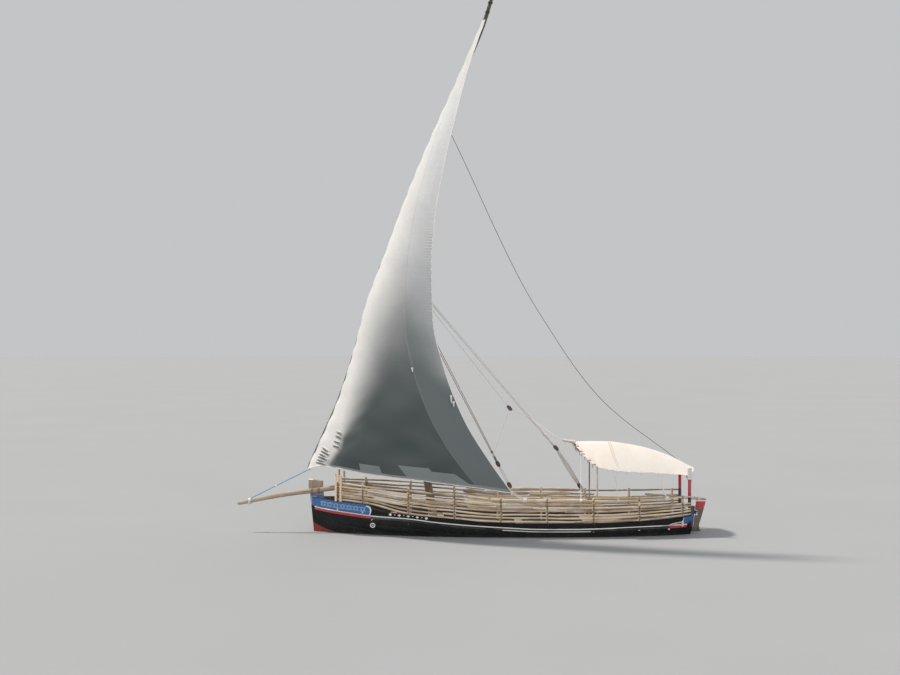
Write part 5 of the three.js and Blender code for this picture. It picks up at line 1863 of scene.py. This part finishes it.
# %% Corner posts and stern rail
CORNER_POST_X = 5.68


def make_corner_post(side):
    """Black foot, red shaft and a head wrapped in cloth."""
    name = "corner_post_" + SIDE_NAMES[side]
    low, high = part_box(name)
    x, y = (low.x + high.x) / 2, (low.y + high.y) / 2
    y = side * (breadth_at(CORNER_POST_X) - POLE_INSET - POLE_RADIUS - 0.050)
    heights = np.linspace(low.z, high.z, 24)
    post = tube("corner_post_dressed_" + SIDE_NAMES[side], [(CORNER_POST_X, y, z) for z in heights],
                [0.049 + ripple((0, z, side), 2.0, 0.003) for z in heights], 12, tone=0.6)
    cut_bands(post, 2, (1.22,), (black_paint, red_paint))
    dress(smooth(post, 50), None, "tarred_wood", "hull", name)
    wraps = []
    head = np.linspace(1.70, high.z + 0.012, 26)
    path = [(CORNER_POST_X + ripple((z, 0, 3), 7, 0.006), y, z) for z in head]
    size = [0.060 + 0.010 * abs(math.sin(z * 41)) + ripple((z, side, 7), 18, 0.005) for z in head]
    size[-1] *= 0.6
    wraps.append(tube("wrap", path, size, 16, tone=0.5))
    ear_points = [(5.70, y - 0.04 * side, 1.76), (5.76, y - 0.07 * side, 1.70), (5.75, y - 0.08 * side, 1.60)]
    ear = soft_path(ear_points, 8)
    wraps.append(tube("wrap", ear, np.linspace(0.022, 0.006, 9), 8, flat=0.5, tone=0.5))
    wrap = joined("post_wrap_" + SIDE_NAMES[side], wraps)
    paint_value(wrap, "shade_and_soil", 0.1)
    dress(smooth(wrap, 70), wrap_cloth, "awning_cloth", "hull")


for side in (PORT, STARBOARD):
    make_corner_post(side)

rail_low, rail_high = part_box("stern_rail")
rail_middle = (rail_low + rail_high) / 2
rail_path = [(rail_middle.x, y, rail_middle.z + ripple((y, 0, 8), 1.3, 0.004))
             for y in np.linspace(rail_low.y, rail_high.y, 20)]
stern_rail = tube("stern_rail_pole", rail_path, 0.035, 10, tone=0.3)
dress(smooth(stern_rail, 50), pole_wood, "pole_wood", "hull", "stern_rail")
print("corner posts stand at the stern")

# %% Awning
# [share along it, ridge x, ridge z, eave x, eave z, half width]
AWNING_LINES = [
    (0, 2.240, 2.778, 2.850, 2.090, 1.500),
    (1, 2.780, 2.803, 3.180, 2.030, 1.470),
    (2, 3.315, 2.787, 3.520, 1.980, 1.420),
    (3, 3.745, 2.741, 3.900, 1.945, 1.360),
    (4, 4.387, 2.620, 4.560, 1.910, 1.240),
    (5, 5.100, 2.395, 5.080, 1.865, 1.140),
    (6, 5.925, 1.990, 5.600, 1.825, 1.040),
]
AWNING_END = 6
EAVE_TIES = 7
awning_lines = fairing(AWNING_LINES)


def awning_point(row, v, lift=0.0):
    """The awning's top at a row along it and a share across, from -1 at port to 1 at starboard."""
    ridge_x, ridge_z, eave_x, eave_z, half = awning_lines(row)
    x = ridge_x + (eave_x - ridge_x) * abs(v) ** 3
    z = eave_z + (ridge_z - eave_z) * (1 - abs(v) ** 1.8)
    side = abs(v)
    tie = 0.5 - 0.5 * math.cos(2 * math.pi * row / AWNING_END * EAVE_TIES)
    scallop = 0.016 * tie * side ** 8
    fore = math.exp(-row / 0.28)
    gathers = 0.013 * fore * math.sin(v * 24.0) + 0.006 * math.sin(v * 51.0 + 1.0) * fore
    sag = -0.010 * (0.5 - 0.5 * math.cos(math.pi * 2 * side)) * abs(math.sin(math.pi * row / 2))
    slack = 0.010 * noise.noise(Vector((x * 1.6, v * 2.6, 3.0))) * (1 - side ** 6)
    wave = 0.012 * fore * math.cos(v * 24.0)
    return np.array((x + wave, v * half, z + scallop + gathers + sag + slack + lift))


def awning_patch(name, rows, shares, lift, row_count, share_count):
    """A stretch of the awning as a sheet with its UV map in metres."""
    places, pairs, shade_and_soil = [], [], []
    for row in np.linspace(*rows, row_count):
        line = [awning_point(row, v, lift) for v in np.linspace(*shares, share_count)]
        places.append(line)
        pairs.append([(point[0], v * 1.6) for point, v in zip(line, np.linspace(*shares, share_count))])
        shade_and_soil.append([0.75 * math.exp(-row / 0.5) * (0.5 + noise.noise(Vector((v * 6, row * 4, 0))))
                     for v in np.linspace(*shares, share_count)])
    sheet = sheet_of(name, places, pairs)
    return paint_value(sheet, "shade_and_soil", np.clip(np.array(shade_and_soil).reshape(-1), 0, 1))


awning = awning_patch("awning_cloth_sheet", (0, AWNING_END), (-1, 1), -0.004, 110, 90)
awning_area = sum(face.area for face in awning.data.polygons)
smooth(thicken(awning, 0.004), 60)
cross_seams = [
    thicken(awning_patch("seam", (row, row + 0.028), (-1, 1), 0.002, 3, 80), 0.003) for row in (1.93, 2.06)
]
awning_seams = smooth(joined("awning_seams", cross_seams), 60)
seams = []
for low, high in ((-1.0, -0.955), (0.955, 1.0)):
    seams.append(thicken(awning_patch("hem", (0, AWNING_END), (low, high), 0.0015, 110, 3), 0.004))
for low, high in ((0.0, 0.07), (AWNING_END - 0.07, AWNING_END)):
    seams.append(thicken(awning_patch("hem", (low, high), (-1, 1), 0.0015, 4, 80), 0.004))
awning_hems = smooth(joined("awning_hems", seams), 60)
print("awning area", round(awning_area, 2), "square metres")

# %% Awning's bunched fore end and ties
bunch_start, bunch_end = np.array((2.27, 0.0, 2.765)), np.array((1.87, 0.03, 2.83))
folds = []
for k in range(7):
    angle = 2 * math.pi * k / 7
    out = np.array((0.0, math.cos(angle), 0.6 * math.sin(angle)))
    points = [bunch_start + out * 0.075, (bunch_start * 0.55 + bunch_end * 0.45) + out * 0.045,
              bunch_start * 0.25 + bunch_end * 0.75 + out * 0.020, bunch_end + out * 0.038]
    folds.append(tube("fold", soft_path(points, 14), np.linspace(0.040, 0.016, 15), 9, flat=0.6, tone=0.5))
bunch = joined("awning_bunch", folds)
paint_value(bunch, "shade_and_soil", 0.35)
dress(smooth(bunch, 70), awning_canvas, "awning_cloth", "hull")


def rope_end(name, points, steps, thick, thin):
    """A short end of rope through a few points, tapered."""
    return tube(name, soft_path(points, steps), np.linspace(thick, thin, steps + 1), 6, turns=0.02)


awning_ropes, awning_ties = [], []
backstay_top, backstay_block = mast_point(STAYS[0][1]), np.array(STAYS[0][2])
meeting = backstay_top + (backstay_block - backstay_top) * 0.842
awning_ropes.append(rope("fore_line", [bunch_end, (bunch_end + meeting) / 2, meeting], 0.009, 20, 0.03))
coil_place = bunch_start * 0.25 + bunch_end * 0.75
awning_ropes.append(coil("fore_coil", coil_place, bunch_end - bunch_start, 0.040, 5, 0.009))
for side in (PORT, STARBOARD):
    for k in range(EAVE_TIES + 1):
        row = AWNING_END * k / EAVE_TIES
        corner = awning_point(row, side * 0.985)
        knot_points = [
            corner + (0, 0, 0.01), corner + (0.02, side * 0.02, -0.03), corner + (0.01, side * 0.01, -0.09),
        ]
        awning_ropes.append(rope_end("eave_knot", knot_points, 6, 0.014, 0.006))
    for v in (0.36, 0.55, 0.64, 0.81, 0.92):
        edge = awning_point(0.02, side * v)
        points = [
            awning_point(0.10 + 0.12 * v, side * v, 0.010), edge + (0.01, 0, 0.02),
            edge + (-0.035, 0, -0.01), edge + (-0.02, 0, -0.09),
        ]
        awning_ties.append(rope_end("front_tie", points, 9, 0.013, 0.007))
# Ropes down to the port rail: [row on the awning, share across it, foot x, radius, bow of its middle aft]
DOWN_LINES = [
    (0.0, 0.61, 2.315, 0.011, 0.0), (1.45, 0.985, 3.45, 0.008, 0.03), (4.5, 0.985, 4.95, 0.018, -0.06),
]
for row, v, foot_x, radius, bow in DOWN_LINES:
    corner, foot = awning_point(row, PORT * v), screen_place(foot_x, 1.0, PORT)
    awning_ropes.append(rope("down_line", [corner, (corner + foot) / 2 + (bow, 0, 0), foot], radius, 14))
    awning_ropes.append(coil("down_turn", foot, (1, 0, 0), POLE_RADIUS + radius + 0.004, 3, radius))
awning_lines_piece = smooth(joined("awning_ropes", awning_ropes), 60)
dress(awning, awning_canvas, "awning_cloth", "hull", "awning")
dress(awning_hems, awning_canvas, "awning_cloth", "hull")
dress(awning_seams, seam_canvas, "awning_cloth", "hull")
dress_parts("awning_ties", awning_ties, rope_brown, "rope", "hull")
dress(awning_lines_piece, rope_pale, "rope", "hull")

# %% Awning frame
for hoop_name in ("awning_hoop_fore", "awning_hoop_aft"):
    dress_pole(hoop_name, 0.004, 1, 0.4, "hull")
dress_pole("awning_ridge_pole", 0.004, 0, 0.7, "hull")
print("awning tied down")

# %% [markdown]
# ## The rudder
# The rudder is a board of three heavy planks that hangs on two pintles. Its head is red with a cream line,
# the rest is bare and grey, and the after edge is tarred. The tiller is a plain pole let over the head.

# %% Rudder, tiller and irons
rudder = rounded("rudder_blade", 0.008, 2)
cut_bands(
    rudder, 2, (0.02, 0.70, 0.925, 0.965), (hull_paint, dark_grey_wood, red_paint, white_paint, red_paint),
)
# The tarred strip along the after edge, above the water: its inner line runs from low to high
STRIP_LOW = Vector((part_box("rudder_blade")[1].x - 0.530, 0.0, 0.18))
STRIP_HIGH = STRIP_LOW + Vector((0.215, 0.0, 0.70))
strip_out = (STRIP_HIGH - STRIP_LOW).cross(Vector((0.0, -1.0, 0.0))).normalized()
strip_out *= 1 if strip_out.x > 0 else -1
edit(rudder)
bpy.ops.mesh.bisect(plane_co=STRIP_LOW, plane_no=strip_out)
close(rudder)
rudder.data.materials.append(black_paint)
for face in rudder.data.polygons:
    if face.center.z > 0.1 and face.material_index == 1 and (face.center - STRIP_LOW).dot(strip_out) > 0:
        face.material_index = 5
print("faces on the tarred strip", sum(face.material_index == 5 for face in rudder.data.polygons))
paint_value(rudder, "tone", 0.5)
dress(rudder, None, "rudder_paint", "rudder", "rudder_blade")

dress_pole("tiller", 0.006, 0, 0.4, "rudder")
# [x, z, radius, turns, rope radius]
TILLER_TURNS = [
    (6.13, 1.010, 0.050, 4, 0.009), (5.90, 1.030, 0.048, 5, 0.009), (4.60, 1.134, 0.034, 7, 0.006),
]
tiller_turns = [coil("turns", (x, 0.0, z), (1, 0, -0.08), *sizes, 6, 14) for x, z, *sizes in TILLER_TURNS]
dress_parts("tiller_lashings", tiller_turns, rope_pale, "rope", "rudder")
for iron_name, body in (("gudgeon_lower", "hull"), ("gudgeon_upper", "hull"),
                        ("pintle_lower", "rudder"), ("pintle_upper", "rudder")):
    iron = rounded(iron_name, 0.0025, 2)
    dress(smooth(iron, 35), forged_iron, "iron", body, iron_name)
print("rudder hung")

# %% [markdown]
# ## Running ropes
# The tack line holds the sail's fore corner down to the bowsprit, the sheet leads its after corner to the
# rail, and a long vang steadies the yard from above. They cross the joint between the hull and the yard.

# %% Tack line, sheet and vang
def crossing_rope(name, points, radius, material, sag=0.0, steps=40):
    """A rope from the hull, first point, to the yard or sail, last point. A knot on such a rope is given the
    rope's own two ends."""
    line = smooth(rope(name, points, radius, steps, sag), 60)
    line.data.materials.clear()
    line.data.materials.append(material)
    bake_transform(line)
    return line


tack = sail_point(0.0, 0.0) + (0.03, 0.0, -0.02)
bowsprit_ring = np.array((TACK_RING_X, BOWSPRIT_Y, bowsprit_line(TACK_RING_X)[0] + 0.07))
crossing_rope("tack_line", [bowsprit_ring, (bowsprit_ring + tack) / 2, tack], 0.013, rope_blue, 0.0)
knot_ends = [bowsprit_ring * (1 - share) + tack * share for share in (0.43, 0.45)]
crossing_rope("tack_knot", knot_ends, 0.026, rope_pale, steps=4)
clew = sail_point(1.0, 0.0)
sheet_rail = screen_place(0.62, 1.0, PORT)
crossing_rope("sheet_line", [sheet_rail, (sheet_rail + clew) / 2, clew], 0.013, rope_pale, 0.01)
sheet_points = [sheet_rail + (0.1, 0, 0), (sheet_rail + clew) / 2 + (0.05, 0, 0.02), clew + (0, 0, 0.05)]
crossing_rope("sheet_second", sheet_points, 0.009, rope_pale, 0.01)
vang_foot = np.array((CORNER_POST_X, 1.03, 2.07))
VANG_TOP_Z, UPPER_KNOT_Z = 12.75, 13.9
vang_top = yard_place(VANG_TOP_Z)
vang_middle = [(3.094, 0.60, 4.114), (1.12, 0.17, 6.85), (0.486, 0.02, 7.943), (-1.53, -0.74, 12.12)]
crossing_rope("vang_line", [vang_foot, *vang_middle, vang_top], 0.008, rope_dark, steps=70)

upper_radius = yard_line(UPPER_KNOT_Z)[2] + 0.014
knots = [
    coil("knot", tack, (0.4, 0, 1), 0.026, 4, 0.012),
    coil("knot", clew, (0.3, 0, 1), 0.024, 4, 0.012),
    coil("knot", vang_top, yard_way(VANG_TOP_Z), yard_line(VANG_TOP_Z)[2] + 0.012, 4, 0.008),
    coil("knot", yard_place(UPPER_KNOT_Z), yard_way(UPPER_KNOT_Z), upper_radius, 3, 0.012),
]
dress_parts("corner_knots", knots, rope_pale, "rope", "yard_rig")
ring_radius = bowsprit_line(TACK_RING_X)[1] + 0.026
feet = [
    coil("turns", sheet_rail, (1, 0, 0), LOG_RADIUS + 0.012, 5, 0.011),
    coil("turns", vang_foot - (0, 0, 0.03), (0, 0, 1), 0.070, 3, 0.010),
    coil("turns", bowsprit_ring - (0, 0, 0.07), (1, 0, 0.17), ring_radius, 3, 0.012),
]
dress_parts("rope_feet", feet, rope_pale, "rope", "hull")

# %% Masthead fall
halyard_block_place = np.array((0.256, 1.00, 3.777))
head_start = mast_point(8.58) + (0.06, 0.07, 0.0)
joins = backstay_top + (backstay_block - backstay_top) * 0.857
tail_foot = np.array((-0.75, 1.30, 1.30))
fall_ropes = [
    rope("fall", [head_start, (head_start + halyard_block_place) / 2, halyard_block_place], 0.009, 50, 0.05),
    rope("fall", [halyard_block_place, (halyard_block_place + joins) / 2, joins], 0.008, 12),
    rope("fall", [halyard_block_place, np.array((-0.205, 1.05, 2.506)), tail_foot], 0.007, 24, 0.06),
]
dress_parts("masthead_fall", fall_ropes, rope_pale, "rope", "hull")
small_block = placed(block_template, "fall_block", halyard_block_place, joins - head_start)
dress(small_block, dark_wood, "weathered_wood", "hull")
bpy.data.objects.remove(block_template)

# %% Yard collar
collar_turns = []
collar_way = (MAST_LEAN, 0.0, 1.0)
COLLAR_Z = 8.19
for k, z in enumerate((8.15, 8.185, 8.22)):
    collar_turns.append(coil("collar", mast_point(z), collar_way, MAST_HEAD_RADIUS + 0.022, 1, 0.016, 8, 28))
yard_middle = yard_place(COLLAR_Z)
collar_radius = yard_line(COLLAR_Z)[2] + 0.020
collar_turns.append(coil("collar", yard_middle, yard_way(COLLAR_Z), collar_radius, 5, 0.014, 8, 16))
for z in (8.14, COLLAR_Z, 8.24):
    near = mast_point(z) + (-0.06, -0.10, 0.0)
    far = yard_middle + (0.0, 0.10, z - COLLAR_Z)
    collar_turns.append(rope("collar", [near, (near + far) / 2, far], 0.016, 8))
collar = smooth(joined("collar_turns", collar_turns), 60)
dress(collar, rope_brown, "rope", "yard_rig", "yard_collar")
print("running ropes led")

# %% [markdown]
# ## The floor
# The floor is a wide pale disc at the waterline. It is a ring of faces between a far circle and the hull's
# own outline at that height, so nothing covers the inside of the open hull.

# %% Floor
FLOOR_REACH = 260.0
OUTLINE_INSET = 0.020
OUTLINE_FROM, OUTLINE_TO = -5.45, 5.62


def waterline_outline(count):
    """Points round the hull at the floor's height, just inside the planks' outer face."""
    stations = np.linspace(OUTLINE_FROM, OUTLINE_TO, count)
    rows = [skin_point(x, share_at(x, 0.0), STARBOARD) for x in stations]
    side = [(point[0], point[1] - OUTLINE_INSET) for point in rows]
    return side + [(x, -y) for x, y in reversed(side)]


outline = waterline_outline(60)
bpy.ops.mesh.primitive_circle_add(vertices=len(outline), radius=FLOOR_REACH)
floor = bpy.context.object
floor.name = "floor"
bpy.ops.mesh.primitive_circle_add(vertices=len(outline), radius=1.0)
hole = bpy.context.object
for vertex, (x, y) in zip(hole.data.vertices, outline):
    vertex.co = (x, y, 0.0)
floor = joined("floor", [floor, hole])
edit(floor)
bpy.ops.mesh.bridge_edge_loops()
bpy.ops.mesh.normals_make_consistent(inside=False)
close(floor)


def floor_finish():
    """Matt studio floor, very slightly uneven in tone."""
    material, tree, shader, place, pairs = start_material("studio_floor", 0.9)
    tone = clouds(tree, place, 0.15, 2.0)
    colour = blend_colours(tree, tone, (0.285, 0.29, 0.30, 1), (0.305, 0.31, 0.32, 1))
    tree.links.new(colour, shader.inputs["Base Color"])
    return material


floor.data.materials.append(floor_finish())
print("floor with", len(outline), "points round the hull")
